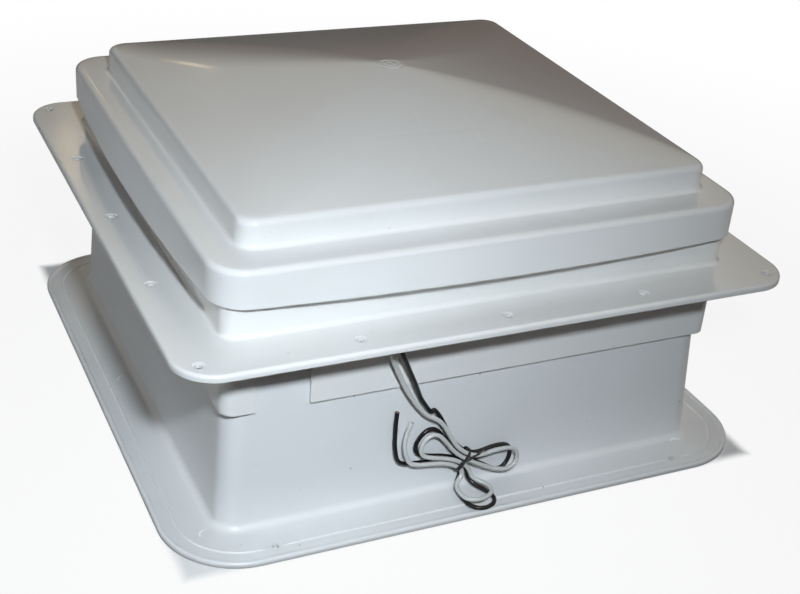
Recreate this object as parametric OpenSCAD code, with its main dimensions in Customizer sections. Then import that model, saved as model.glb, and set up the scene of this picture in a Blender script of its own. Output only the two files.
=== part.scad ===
// Powered caravan roof vent for a square roof opening: domed lid on a hinged base,
// worm-driven lift arm, extractor fan, insect screen and inner garnish.
// Millimetres, +Z up, front (lead side) towards -Y, origin under the garnish.

/* [Base] */
// Side of the square roof opening
roof_opening = 355.6; // [345:0.1:370]
// Play between the opening and the skirt, each side
opening_play = 1.8; // [1.2:0.1:3]
// Wall of the skirt below the flange
skirt_wall = 2.6; // [2.2:0.1:3.2]
// Depth of the skirt below the flange
skirt_depth = 51.5; // [46:0.5:56]
// Wall of the neck above the flange
neck_wall = 3.1; // [2.8:0.1:3.6]
// Height of the neck above the flange
neck_h = 38; // [36:0.5:42]
// Corner radius of the neck
neck_r = 10; // [9:0.5:12]
// Overhang of the roof flange
flange_w = 35.5; // [32:0.5:42]
// Thickness of the roof flange
flange_t = 3; // [2.5:0.1:4]
// Corner radius of the roof flange
flange_r = 27; // [22:0.5:34]
// Drop of the lip under the flange edge
flange_lip = 1.5; // [1:0.1:2.5]
// Width of the flange lip
lip_w = 4; // [3.4:0.1:5]
// Diameter of the roof screw holes
roof_hole_d = 4.6; // [4:0.1:5.5]
// Distance of the roof screw holes from the flange edge
roof_hole_edge = 14.5; // [12:0.5:17]
// Width of the notches in the skirt
notch_w = 35.5; // [25:0.5:45]
// Height of the corner gussets that carry the screen
gusset_h = 19.5; // [16:0.5:24]

/* [Lid] */
// Wall of the lid
lid_wall = 2.4; // [2:0.1:3]
// Play between neck and lid skirt, each side
lid_play = 4.3; // [4:0.1:6]
// Depth of the lid skirt
lid_skirt_h = 25; // [22:0.5:26]
// Corner radius of the lid rim
lid_r = 24; // [20:0.5:25]
// Outward bow of the skirt edge on front and sides
lid_bow = 6.5; // [0:0.5:9]
// Width of the ledge in front of and behind the raised dome
ledge_w = 25.5; // [22:0.5:27]
// Width of the ledge at the sides of the raised dome
ledge_side = 19.2; // [18:0.1:26]
// Height of the step up to the dome
step_h = 18.5; // [14:0.5:24]
// Corner radius of the step
step_r = 9; // [8:0.5:18]
// Rise of the dome above its edge
dome_h = 27.6; // [16:0.2:36]
// Height of the lid seal
seal_h = 6.5; // [5:0.5:9]

/* [Hinge and lift] */
// Hinge axis behind the neck
hinge_back = 13.5; // [12.5:0.5:15]
// Hinge axis above the flange
hinge_up = 25; // [24:0.5:27]
// Distance of each hinge from the middle
hinge_x = 132; // [118:1:134]
// Diameter of the hinge pins
hinge_pin_d = 4; // [3:0.1:5]
// Width of the ears on the base
ear_w = 14; // [10:0.5:18]
// Opening angle of the lid
lid_angle = 60; // [40:1:62]
// Length of the lift arm
arm_len = 150; // [142:0.5:154]
// Drop of the arm pivot below the hinge axis
arm_drop = 20; // [17:0.5:22]
// Thickness of the lift arm
arm_t = 3; // [2.5:0.1:3.5]
// Width of the lift arm
arm_w = 14; // [11:0.5:16]
// Teeth of the worm wheel
wheel_teeth = 24; // [22:1:25]
// Module of the worm gear
gear_mod = 1.25; // [1.15:0.05:1.3]
// Diameter of the crank shaft
crank_d = 7; // [6:0.1:7.4]
// Diameter of the crank knob
knob_d = 34; // [28:0.5:40]
// Height of the knob grip
knob_h = 16; // [12:0.5:20]

/* [Fan] */
// Diameter of the fan
fan_d = 165; // [130:1:180]
// Blades of the fan
fan_blades = 4; // [3:1:6]
// Diameter of the motor
motor_d = 36; // [30:0.5:42]
// Length of the motor can
motor_h = 30; // [24:0.5:32]
// Diameter of the motor shaft
shaft_d = 3.2; // [2.5:0.1:4]
// Width of the motor bracket
strap_w = 26; // [22:0.5:32]
// Sheet of the brackets
sheet_t = 2; // [1.5:0.1:2.5]

/* [Screen and garnish] */
// Thickness of the screen frame
frame_t = 4.5; // [4:0.1:6]
// Width of the screen frame
frame_w = 15; // [13:0.5:20]
// Gaps of the screen along each side
mesh_n = 16; // [8:1:17]
// Bar of the screen
mesh_bar = 1.6; // [1:0.1:3]
// Height of the garnish
garnish_h = 116; // [108:0.5:124]
// Outward flare of the garnish wall at its foot, each side
garnish_flare = 4.5; // [3:0.1:6.5]
// Wall of the garnish
garnish_wall = 2.2; // [1.8:0.1:3]
// Thickness of the garnish flange
garnish_t = 3; // [2.5:0.1:4]
// Corner radius of the garnish flange
garnish_r = 52; // [40:1:60]
// Diameter of the garnish screw holes
garnish_hole_d = 4.6; // [4:0.1:5.5]
// Half spacing of the garnish holes across the front
garnish_hole_x = 148; // [130:1:165]
// Distance of the garnish holes from the flange edge
garnish_hole_edge = 12; // [10:0.5:14]

/* [Leads] */
// Diameter of each lead over its insulation
lead_d = 3; // [2.4:0.1:3.1]

/* [Hidden] */
$fn = 48;

// Clearances: a running fit, a sliding fit and a seat between separate bodies
fit = 0.05;
slide = 0.3;
seat = 0.3;
// Overlap of solids that are fused in one node, and reach of cuts past a face
weld = 0.5;
past = 1;

// Heights, from the garnish upwards
frame_z = garnish_h;
gusset_z = frame_z + frame_t;
flange_z = gusset_z + gusset_h;
flange_top = flange_z + flange_t;
skirt_z = flange_z - skirt_depth;
neck_top = flange_top + neck_h;
ledge_under = neck_top + seal_h;
ledge_top = ledge_under + lid_wall;
lid_z = ledge_top - lid_skirt_h;
dome_z = ledge_top + step_h;

// Half widths, from the roof opening outwards and inwards
skirt_half = roof_opening / 2 - opening_play;
tube_half = skirt_half - skirt_wall;
tube_r = neck_r - neck_wall;
neck_half = tube_half + neck_wall;
skirt_r = neck_r - neck_wall + skirt_wall;
flange_half = neck_half + flange_w;
roof_hole_at = flange_half - roof_hole_edge;
lid_half = neck_half + lid_play + lid_wall;
step_half = lid_half - ledge_w;
step_widen = (lid_half - ledge_side) / step_half;
neck_cove = 3;
seal_w = 6.1;
seal_r = neck_r + 5;
seal_in = neck_half + weld - seal_w;
sink_d = 8;
sink_depth = 0.6;
notch_from_corner = 21;
notch_top_gap = 8;
gusset_leg = 26;
gusset_screw_in = 11;
gusset_blind = 4;

// Rounding of the lid
rim_fillet = 4;
step_fillet = 5;
step_cove = 3;
dome_crown = 1.15;
dome_soft = 0.55;
top_bow = 1;

// Hinge
hinge_y = neck_half + hinge_back;
hinge_z = flange_top + hinge_up;
knuckle_r = 4.6;
lug_w = 8;
lug_gap = 0.4;
lug_rise = 9;
lug_drop = 1;
ear_toe = 4;
ear_notch = 8;
ear_bevel = 6;
leaf_t = 1.6;
leaf_side = 7;
leaf_w = ear_w + 2 * (lug_w + lug_gap + leaf_side);
leaf_h = 17;
leaf_up = 1.6;
leaf_rivet_in = 4;
leaf_rivet_down = 5;
pin_head_t = 1.2;
pin_head_r = hinge_pin_d / 2 + 1.5;
rivet_d = 3.2;
rivet_head_r = 3;
rivet_head_h = 1.6;
rail_rivet_head_r = 2.3;

// Lift linkage: the arm is as long as the distance from hinge to arm pivot, so the arm turns
// twice the lid's angle and its end stays on the straight rail through the hinge axis
arm_back = sqrt(arm_len * arm_len - arm_drop * arm_drop);
pivot_y = hinge_y - arm_back;
pivot_z = hinge_z - arm_drop;
shoe_closed = 2 * arm_back;
shoe_open = 2 * (arm_back * cos(lid_angle) - arm_drop * sin(lid_angle));
rail_clear = 0.7;
rail_t = 2;
rail_slot = 9;
rail_below = 10;
rail_end = 8;
rail_flange_w = 7.2;
rail_flange_t = 1.6;
rail_x = seal_in - rail_clear - rail_flange_w;
rail_rivets_at = [0.06, 0.5, 0.94];
shoe_len = 16;
shoe_end_gap = 1;
shoe_flange_t = 1.4;
shoe_flange_over = 3;
shoe_pin_d = 5;
shoe_pin_head_t = 1.4;
shoe_pin_over = 2;
rail_front_y = hinge_y - shoe_closed - shoe_len / 2 - shoe_end_gap;
rail_back_y = hinge_y - shoe_open + shoe_len / 2 + shoe_end_gap;
arm_out_x = rail_x - slide - shoe_flange_t - slide;
arm_x = arm_out_x - arm_t;
arm_eye = 3;
arm_holes = 4;

// Worm gear
worm_wall = 1.5;
wheel_r = gear_mod * wheel_teeth / 2;
worm_r = crank_d / 2 + worm_wall;
lead_pitch = PI * gear_mod;
wheel_face = 5;
tooth_foot = 0.95;
tooth_tip = 0.4;
thread_foot = 0.95;
thread_tip = 0.3;
gear_from_arm = 15;
gear_x = arm_x - gear_from_arm;
worm_y = pivot_y - wheel_r - worm_r;
worm_len = 12;
arm_shaft_d = 8;
arm_boss_d = arm_shaft_d + 6;
box_wall = 2.4;
box_gap = 1.6;
box_half = 8;
tooth_add = 1;
tooth_ded = 1.45;
worm_add = 0.95;
worm_ded = 1.15;
box_corner = 7;
box_in_x = gear_x - box_half;
box_out_x = gear_x + box_half;
box_y0 = worm_y - worm_r - worm_add - box_gap - box_corner;
box_y1 = pivot_y + wheel_r + tooth_add + box_gap;
box_z0 = pivot_z - wheel_r - tooth_add - box_gap;
box_z1 = pivot_z + wheel_r + tooth_add + box_gap;
shelf_top = box_z0 - box_wall;
box_screw_in = 3.2;
box_screw_d = 2.6;
box_screw_depth = 8;
box_head_d = 5;
lift_flange_h = 28;
lift_screw_in = 4;
lift_screw_down = 10;
collar_d = 11;
collar_h = 2;
crank_clear = 1;

// Motor and fan
strap_below = 10;
strap_z = hinge_z - strap_below;
tab_h = 18;
tab_screw_x = 7;
wall_screw_d = 3.6;
wall_screw_in = 2.5;
screw_head_d = 7;
screw_head_h = 2;
screw_play = 0.4;
tip_gap = 0.3;
strap_edge_h = 2;
strap_edge_clear = 24;
motor_boss_d = 12;
motor_boss_h = 3;
motor_cap_h = 5.5;
motor_cap_over = 0.3;
motor_floor = 4;
terminal_x = 8;
terminal_w = 4.8;
terminal_t = 0.8;
terminal_len = 5;
terminal_down = 2.4;
motor_screw_y = 12.5;
motor_screw_d = 3;
motor_screw_depth = 6;
hub_d = 30;
hub_h = 14;
hub_gap = 4;
hub_z = strap_z + sheet_t + hub_gap;
blade_up = 11;
blade_z = hub_z + blade_up;
blade_t = 2;
blade_root = 20;
blade_spread = 32;
blade_trim = 6;
blade_camber = 6;
blade_in = 2;
clip_d = 10;
clip_h = 2;
shaft_past = 2;
shaft_top = hub_z + hub_h + clip_h + shaft_past;

// Screen
frame_play = 0.5;
frame_half = tube_half - frame_play;
frame_r = tube_r + frame_play;
frame_in = frame_half - frame_w;
rebate = 3;
rebate_depth = 1;
mesh_t = 0.8;
plate_w = 44;
plate_len = 112;
plate_x0 = gear_x - plate_w / 2;
plate_behind = 26;
plate_y1 = worm_y + plate_behind;
switch_from_crank = 46;
switch_y = worm_y - switch_from_crank;
bush_d = 16;
bush_flange = 2;
bush_flange_t = 1.5;
knob_drop = 32;
crank_low = frame_z - knob_drop;
knob_below = 6;
knob_boss_h = 8;
knob_boss_d = 2 * crank_d + 4;
knob_flutes = 8;
flute_d = 11;
flute_out = 3.5;
knob_screw_d = 3;
knob_screw_len = 12;
knob_screw_depth = 10;
knob_sink = 2.4;
knob_sink_d = 9;
switch_w = 14;
switch_l = 20;
switch_rim = 2.2;
switch_rim_t = 2.5;
switch_h = 18;
switch_wall = 1.8;
switch_cavity = 9;
rocker_pin_wall = 0.8;
rocker_gap = 1;
rocker_deep = 6.2;
rocker_dish = 1.3;
rocker_top = 3;
rocker_axis = 1;
rocker_pin_d = 3;
rocker_tilt = 9;

// Garnish
garnish_half = flange_half;
garnish_at_skirt = tube_half - seat;
garnish_foot = garnish_at_skirt + garnish_flare;
garnish_slope = (garnish_foot - garnish_at_skirt) / (skirt_z - garnish_t);
garnish_corner = 15;
garnish_cove = 5;
garnish_lip_w = 4;
garnish_lip_h = 4.2;
bead_in = 12;
bead_r = 1.1;
garnish_hole_y = garnish_half - garnish_hole_edge;
hole_flat_d = 14;

// Leads: a grommet in the front wall, two free leads and their tied hank
lead_r = lead_d / 2;
lead_x = -71;
lead_gap = 2.6;
grommet_d = 13;
grommet_flange_d = 16;
grommet_flange_t = 2;
grommet_clear = 2;
lead_z = gusset_z + grommet_clear + grommet_flange_d / 2;
grommet_face_y = -skirt_half - grommet_flange_t;
// The hank lies on the garnish: a flat layout of it is wrapped over wall, foot and flange
foot_bend = 14;
hank_waist = [-11.5, 9];
hank_turn = -34;
hank_lift = 1.4;
hank_layer_gap = 0.8;
strand_gap = 0.75;
hank_off_black = lead_r + hank_lift;
hank_off_white = hank_off_black + lead_d + hank_layer_gap;
strand_step = lead_d + strand_gap;
fan_out = 22;
rings_per_loop = 24;
tie_w = 3;
tie_t = 0.9;
tie_ends = [20, 46];
tie_end_len = 14;
tie_end_d = 1.2;
tie_end_up = 1;
// Hand-laid route of each free lead, from its grommet, and the drop to the hank that it was laid for
white_drop = 72.176;
black_drop = 66.575;
white_route = [
    [0, -3.2, 0], [0.2, -6.4, -1.2], [0.6, -8.4, -4], [1.2, -9, -8], [2.4, -8.8, -13],
    [5, -7.4, -18.5], [8, -6, -24.5], [11.5, -4.6, -31.5], [15, -3.8, -38.5], [19, -3.4, -45.5],
    [23.5, -3.2, -52.5], [28.5, -3, -59], [34, -3, -65]
];
black_route = [
    [0, -3.2, 0], [0.5, -6.4, -1.2], [1.4, -8.6, -4], [2.6, -9.2, -8], [4.4, -8.8, -12.5],
    [7, -7.8, -17.5], [10, -6.4, -23.5], [13.5, -4.8, -30.5], [17, -3.4, -37.5], [20.5, -1.2, -45],
    [24, 0.2, -52.5], [28.5, 0.8, -59.5], [33, 0.8, -65.5]
];

// Small helpers
module up(z) {
    translate([0, 0, z]) children();
}

module rounded_square(half, r) {
    square([2 * half, 2 * (half - r)], center = true);
    square([2 * (half - r), 2 * half], center = true);
    for (x = [-1, 1], y = [-1, 1]) {
        translate([x, y] * (half - r)) circle(r);
    }
}

module slab(half, r, z0, z1) {
    up(z0) linear_extrude(z1 - z0) rounded_square(half, r);
}

// Sweeps a profile (x outwards, y up) round a rounded square
module around_square(half, r) {
    for (k = [0:3]) rotate(90 * k) {
        translate([half, 0, 0]) rotate([90, 0, 0])
            linear_extrude(2 * (half - r), center = true) children();
        translate([half - r, half - r, 0]) rotate_extrude(angle = 90) translate([r, 0]) children();
    }
}

// Extrudes an outline drawn in Y and Z along X
module along_x(x0, x1) {
    translate([x0, 0, 0]) rotate([90, 0, 90]) linear_extrude(x1 - x0) children();
}

module rod_x(x0, x1, d, y, z) {
    along_x(x0, x1) translate([y, z]) circle(d = d);
}

module rod_z(x, y, z0, z1, d) {
    translate([x, y, z0]) cylinder(d = d, h = z1 - z0);
}

module box(a, b) {
    translate(a) cube(b - a);
}

module four_corners(at) {
    for (x = [-1, 1], y = [-1, 1]) translate([x * at, y * at, 0]) children();
}

// A pan-head screw pointing along +Z, its head below z = 0
module pan_screw(d, len, head) {
    cylinder(d = d, h = len);
    up(-screw_head_h) intersection() {
        cylinder(d = head, h = screw_head_h);
        up(head) sphere(head, $fn = 64);
    }
}

// A round-head rivet pointing along +Z, its head below z = 0
module rivet(len, head_r) {
    cylinder(d = rivet_d, h = len);
    cap_r = (head_r * head_r + rivet_head_h * rivet_head_h) / (2 * rivet_head_h);
    intersection() {
        up(cap_r - rivet_head_h) sphere(cap_r, $fn = 64);
        up(-rivet_head_h) cylinder(r = head_r, h = rivet_head_h);
    }
}

// Skins and sweeps
arc_n = 6;
side_n = 5;
ring_n = 4 * (arc_n + 1 + side_n);

// A rounded square ring whose front and sides bow out and whose back stays straight
function lid_ring(half, r, bow, z) = [
    for (k = [0:3]) each concat(
        [for (j = [0:arc_n]) let (a = 90 * k + 90 * j / arc_n, m = 45 + 90 * k)
            [sqrt(2) * (half - r) * cos(m) + r * cos(a), sqrt(2) * (half - r) * sin(m) + r * sin(a), z]],
        [for (i = [1:side_n]) let (
            s = 2 * i / (side_n + 1) - 1,
            out = half + (k == 0 ? 0 : bow) * (1 - s * s),
            a = 90 * (k + 1))
            [out * cos(a) - s * (half - r) * sin(a), out * sin(a) + s * (half - r) * cos(a), z]]
    )
];

function band(a, b, m) = [
    for (i = [0:m - 1]) let (j = (i + 1) % m)
        each [[a * m + i, b * m + i, b * m + j], [a * m + i, b * m + j, a * m + j]]
];

function unit(v) = v / norm(v);

function tangents(p) = [
    for (i = [0:len(p) - 1]) unit(p[min(i + 1, len(p) - 1)] - p[max(i - 1, 0)])
];

// Normals carried along a route without twist
function normals(t, start) = [
    for (i = 0, n = unit(start - (start * t[0]) * t[0]); i < len(t);
        n = i + 1 < len(t) ? unit(n - (n * t[i + 1]) * t[i + 1]) : n, i = i + 1) n
];

module tube(p, r, sides) {
    t = tangents(p);
    n = normals(t, [0.3, 0.2, 1]);
    last = len(p) - 1;
    points = [
        for (i = [0:last], k = [0:sides - 1]) let (a = 360 * k / sides)
            p[i] + r * (cos(a) * n[i] + sin(a) * cross(t[i], n[i]))
    ];
    faces = concat(
        [for (i = [0:last - 1]) each band(i, i + 1, sides)],
        [for (k = [1:sides - 2]) [0, k, k + 1]],
        [for (k = [1:sides - 2]) [last * sides, last * sides + k + 1, last * sides + k]]
    );
    polyhedron(points, faces);
}

// Lid: skins of stacked rings, outside from the skirt edge up to the apex, inside back down
function fillet_steps(n) = [for (i = [1:n]) 90 * i / n];

// The step and the dome are wider across than from front to back
function step_ring(half, r, z) = [for (p = lid_ring(half, r, 0, z)) [step_widen * p[0], p[1], p[2]]];

// The dome's hips grow softer towards the apex
function dome_rings(half, r, z, h) = [
    for (f = [0.84, 0.66, 0.48, 0.3, 0.12])
        step_ring(f * half, f * (r + dome_soft * half * pow(1 - f, 2)), z + h * (1 - pow(f, dome_crown)))
];

function lid_outer() = concat(
    [lid_ring(lid_half, lid_r, lid_bow, lid_z)],
    [lid_ring(lid_half, lid_r, (lid_bow + top_bow) / 2, (lid_z + ledge_top - rim_fillet) / 2)],
    [lid_ring(lid_half, lid_r, top_bow, ledge_top - rim_fillet)],
    [for (a = fillet_steps(3)) let (c = rim_fillet * (1 - cos(a)))
        lid_ring(lid_half - c, lid_r - c, top_bow * cos(a), ledge_top - rim_fillet * (1 - sin(a)))],
    [for (a = [0, 45]) let (c = step_cove * (1 - sin(a)))
        step_ring(step_half + c, step_r + c, ledge_top + step_cove * (1 - cos(a)))],
    [step_ring(step_half, step_r, ledge_top + step_cove)],
    [step_ring(step_half, step_r, dome_z - step_fillet)],
    [for (a = fillet_steps(3)) let (c = step_fillet * (1 - cos(a)))
        step_ring(step_half - c, step_r - c, dome_z - step_fillet * (1 - sin(a)))],
    dome_rings(step_half - step_fillet, step_r - step_fillet, dome_z, dome_h)
);

function lid_inner() = let (
    step_in = step_half - lid_wall, step_in_r = step_r - lid_wall, dome_in = dome_z - lid_wall,
    dome = dome_rings(step_in - step_fillet, step_in_r - step_fillet / 2, dome_in, dome_h)
) concat(
    [for (i = [len(dome) - 1:-1:0]) dome[i]],
    [step_ring(step_in - step_fillet, step_in_r - step_fillet / 2, dome_in)],
    [step_ring(step_in - step_fillet / 3, step_in_r - step_fillet / 4, dome_in - step_fillet / 3)],
    [step_ring(step_in, step_in_r, dome_in - step_fillet)],
    [step_ring(step_in, step_in_r, ledge_under)],
    [lid_ring(lid_half - lid_wall - top_bow, lid_r - lid_wall, 0, ledge_under)],
    [lid_ring(lid_half - lid_wall, lid_r - lid_wall, top_bow, ledge_under - rim_fillet / 2)],
    [lid_ring(lid_half - lid_wall, lid_r - lid_wall, (lid_bow + top_bow) / 2,
        (lid_z + ledge_under) / 2)],
    [lid_ring(lid_half - lid_wall, lid_r - lid_wall, lid_bow, lid_z)]
);

module lid() {
    outer = lid_outer();
    inner = lid_inner();
    rings = concat(outer, inner);
    top = len(outer) - 1;
    low = len(rings) - 1;
    apex = len(rings) * ring_n;
    points = concat(
        [for (r = rings) each r],
        [[0, 0, dome_z + dome_h], [0, 0, dome_z + dome_h - lid_wall]]
    );
    faces = concat(
        [for (i = [0:low]) if (i != top) each band(i, (i + 1) % len(rings), ring_n)],
        [for (i = [0:ring_n - 1]) [top * ring_n + i, apex, top * ring_n + (i + 1) % ring_n]],
        [for (i = [0:ring_n - 1]) let (t = (top + 1) * ring_n) [t + i, t + (i + 1) % ring_n, apex + 1]]
    );
    color([0.93, 0.94, 0.94]) polyhedron(points, faces);
}

module lid_seal() {
    color([0.25, 0.25, 0.26]) difference() {
        slab(neck_half + weld, seal_r, neck_top + seat, ledge_under);
        slab(seal_in, seal_r - seal_w, neck_top, ledge_under + past);
    }
}

// Hinges
module lug_outline() {
    translate([hinge_y, hinge_z]) circle(knuckle_r);
    leaf_y = lid_half + leaf_t / 2;
    polygon([
        [leaf_y, hinge_z + lug_rise], [leaf_y, hinge_z - lug_drop],
        [hinge_y, hinge_z - knuckle_r], [hinge_y + knuckle_r * 0.6, hinge_z + knuckle_r * 0.8]
    ]);
}

module lid_hinge(x) {
    leaf_z = lid_z + leaf_up;
    color([0.88, 0.89, 0.89]) difference() {
        union() {
            box([x - leaf_w / 2, lid_half, leaf_z], [x + leaf_w / 2, lid_half + leaf_t, leaf_z + leaf_h]);
            for (s = [-1, 1]) {
                mid = x + s * (ear_w / 2 + lug_gap + lug_w / 2);
                along_x(mid - lug_w / 2, mid + lug_w / 2) lug_outline();
            }
        }
        rod_x(x - leaf_w, x + leaf_w, hinge_pin_d + 2 * fit, hinge_y, hinge_z);
        hinge_rivet_places(x) cylinder(d = rivet_d + 2 * fit, h = 3 * leaf_t, center = true);
    }
}

module hinge_rivet_places(x) {
    z = lid_z + leaf_up + leaf_h - leaf_rivet_down;
    for (s = [-1, 1]) translate([x + s * (leaf_w / 2 - leaf_rivet_in), lid_half + leaf_t, z])
        rotate([90, 0, 0]) children();
}

module lid_hinge_left() {
    lid_hinge(-hinge_x);
}

module lid_hinge_right() {
    lid_hinge(hinge_x);
}

module hinge_rivets() {
    color([0.7, 0.71, 0.72]) for (x = [-1, 1]) hinge_rivet_places(x * hinge_x) rivet(leaf_t, rivet_head_r);
}

module hinge_pins() {
    reach = ear_w / 2 + lug_gap + lug_w + slide;
    color([0.72, 0.73, 0.74]) for (x = [-hinge_x, hinge_x]) {
        rod_x(x - reach - pin_head_t, x + reach + pin_head_t, hinge_pin_d, hinge_y, hinge_z);
        for (s = [-1, 1]) {
            mid = x + s * (reach + pin_head_t / 2);
            rod_x(mid - pin_head_t / 2, mid + pin_head_t / 2, 2 * pin_head_r, hinge_y, hinge_z);
        }
    }
}

// Base
module ear_outline() {
    translate([hinge_y, hinge_z]) circle(knuckle_r);
    foot_z = flange_top - weld;
    polygon([
        [neck_half - weld, foot_z], [hinge_y + knuckle_r + ear_toe, foot_z],
        [hinge_y + knuckle_r, hinge_z], [hinge_y - knuckle_r, hinge_z],
        [hinge_y - knuckle_r, hinge_z - ear_notch], [neck_half - weld, hinge_z - ear_notch - ear_bevel]
    ]);
}

module flange_edge() {
    er = flange_t * 0.75;
    translate([-lip_w, -flange_lip]) square([lip_w - er, flange_lip + flange_t]);
    translate([-er, -flange_lip]) square([er, flange_lip + flange_t - er]);
    translate([-er, flange_t - er]) circle(er);
}

module roof_hole_places() {
    steps = [-1, -0.5, 0, 0.5, 1];
    for (x = steps, y = steps) {
        if (max(abs(x), abs(y)) == 1) translate([x, y, 0] * roof_hole_at) children();
    }
}

module wall_cove() {
    difference() {
        square(neck_cove);
        translate([neck_cove, neck_cove]) circle(neck_cove);
    }
}

module tab_screw_places() {
    for (k = [0, 1], s = [-1, 1]) rotate(180 * k)
        translate([s * tab_screw_x, tube_half - sheet_t, strap_z - tab_h / 2])
            rotate([-90, 0, 0]) children();
}

module lift_screw_places() {
    for (y = [box_y0 + lift_screw_in, box_y1 - lift_screw_in])
        translate([tube_half - sheet_t, y, shelf_top + lift_flange_h - lift_screw_down])
            rotate([0, 90, 0]) children();
}

module gussets() {
    corner = tube_half + weld;
    difference() {
        intersection() {
            slab(corner, tube_r + weld, gusset_z, flange_z + flange_t);
            for (k = [0:3]) rotate(90 * k) up(gusset_z) linear_extrude(gusset_h)
                polygon([[corner, corner], [corner - gusset_leg, corner], [corner, corner - gusset_leg]]);
        }
        four_corners(tube_half - gusset_screw_in)
            up(gusset_z - past) cylinder(d = motor_screw_d, h = gusset_h - gusset_blind + past);
    }
}

module roof_base() {
    color([0.92, 0.92, 0.9]) {
        difference() {
            union() {
                slab(flange_half - lip_w + weld, flange_r - lip_w + weld, flange_z, flange_top);
                up(flange_z) around_square(flange_half, flange_r) flange_edge();
                slab(neck_half, neck_r, flange_z, neck_top);
                slab(skirt_half, skirt_r, skirt_z, flange_top);
                up(flange_top) around_square(neck_half, neck_r) wall_cove();
                for (x = [-1, 1]) along_x(x * hinge_x - ear_w / 2, x * hinge_x + ear_w / 2) ear_outline();
            }
            slab(tube_half, tube_r, skirt_z - past, neck_top + past);
            roof_hole_places() {
                up(flange_z - past) cylinder(d = roof_hole_d, h = flange_t + 2 * past);
                up(flange_top - sink_depth) cylinder(d = sink_d, h = past);
            }
            for (k = [0:3]) rotate(90 * k) box(
                [notch_from_corner - skirt_half, -skirt_half - past, skirt_z - past],
                [notch_from_corner - skirt_half + notch_w, -tube_half + past, flange_z - notch_top_gap]);
            translate([lead_x, -tube_half, lead_z]) rotate([90, 0, 0])
                cylinder(d = grommet_d, h = 4 * skirt_wall, center = true);
            rod_x(-2 * hinge_x, 2 * hinge_x, hinge_pin_d + 2 * fit, hinge_y, hinge_z);
            tab_screw_places() cylinder(d = wall_screw_d, h = sheet_t + wall_screw_in);
            lift_screw_places() cylinder(d = wall_screw_d, h = sheet_t + wall_screw_in);
        }
        gussets();
    }
}

// Garnish
function garnish_half_at(z) = garnish_foot - (z - garnish_t) * garnish_slope;

module garnish_taper(inset, z0, z1) {
    hull() {
        for (z = [z0, z1]) up(z) linear_extrude(0.01)
            rounded_square(garnish_half_at(z) - inset, garnish_corner - inset, $fn = 32);
    }
}

module garnish_edge() {
    er = garnish_lip_h * 0.45;
    translate([-garnish_lip_w, 0]) square([garnish_lip_w - er, garnish_t]);
    translate([-garnish_lip_w + er, 0]) square([garnish_lip_w - 2 * er, garnish_lip_h]);
    translate([-er, 0]) square([er, garnish_lip_h - er]);
    for (x = [-er, er - garnish_lip_w]) translate([x, garnish_lip_h - er]) circle(er);
}

module garnish_cove_outline() {
    difference() {
        translate([-weld, 0]) square([garnish_cove + weld, garnish_cove]);
        translate([garnish_cove, garnish_cove]) circle(garnish_cove);
    }
}

module garnish_hole_places() {
    for (x = [-1, 1], y = [-1, 1]) translate([x * garnish_hole_x, y * garnish_hole_y, 0]) children();
}

module inner_garnish() {
    color([0.84, 0.87, 0.89]) difference() {
        union() {
            slab(garnish_half - garnish_lip_w + weld, garnish_r - garnish_lip_w + weld, 0, garnish_t);
            around_square(garnish_half, garnish_r) garnish_edge();
            difference() {
                up(garnish_t) around_square(garnish_half - bead_in, garnish_r - bead_in) circle(bead_r);
                garnish_hole_places() up(garnish_t) cylinder(d = hole_flat_d, h = 2 * bead_r);
            }
            garnish_taper(0, garnish_t / 2, garnish_h - 0.01);
            up(garnish_t) around_square(garnish_foot, garnish_corner) garnish_cove_outline();
        }
        garnish_taper(garnish_wall, -past, garnish_h + past);
        garnish_hole_places() up(-past) cylinder(d = garnish_hole_d, h = garnish_t + 2 * past);
    }
}

// Insect screen
module plate_outline() {
    translate([plate_x0, plate_y1 - plate_len]) square([frame_half - plate_x0 - weld, plate_len]);
}

module screen_frame() {
    color([0.9, 0.9, 0.88]) difference() {
        up(frame_z) linear_extrude(frame_t) {
            difference() {
                rounded_square(frame_half, frame_r);
                square(2 * frame_in, center = true);
            }
            plate_outline();
        }
        up(gusset_z - rebate_depth) linear_extrude(rebate_depth + past) difference() {
            square(2 * (frame_in + rebate), center = true);
            plate_outline();
        }
        four_corners(tube_half - gusset_screw_in)
            up(frame_z - past) cylinder(d = motor_screw_d + screw_play, h = frame_t + 2 * past);
        rod_z(gear_x, worm_y, frame_z - past, gusset_z + past, bush_d + 2 * fit);
        box([gear_x - switch_w / 2, switch_y - switch_l / 2, frame_z - past],
            [gear_x + switch_w / 2, switch_y + switch_l / 2, gusset_z + past]);
    }
}

module screen_mesh() {
    half = frame_in + rebate - seat;
    cell = 2 * frame_in / mesh_n;
    edge = mesh_bar / 2;
    frame = [[-half, -half], [half, -half], [half, half], [-half, half]];
    gaps = [
        for (i = [0:mesh_n - 1], j = [0:mesh_n - 1]) let (x = i * cell - frame_in, y = j * cell - frame_in)
            [[x + edge, y + edge], [x + edge, y + cell - edge],
             [x + cell - edge, y + cell - edge], [x + cell - edge, y + edge]]
    ];
    outlines = concat([frame], gaps);
    color([0.55, 0.57, 0.58]) up(gusset_z - rebate_depth) linear_extrude(mesh_t) difference() {
        polygon([for (o = outlines) each o], [for (i = [0:len(outlines) - 1]) [for (k = [0:3]) 4 * i + k]]);
        translate([plate_x0 - seat, plate_y1 - plate_len - seat])
            square([frame_half, plate_len + 2 * seat]);
    }
}

module screen_screws() {
    color([0.72, 0.73, 0.74]) four_corners(tube_half - gusset_screw_in)
        up(frame_z) pan_screw(motor_screw_d - 2 * fit, frame_t + gusset_h - gusset_blind - 2, screw_head_d);
}

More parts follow.
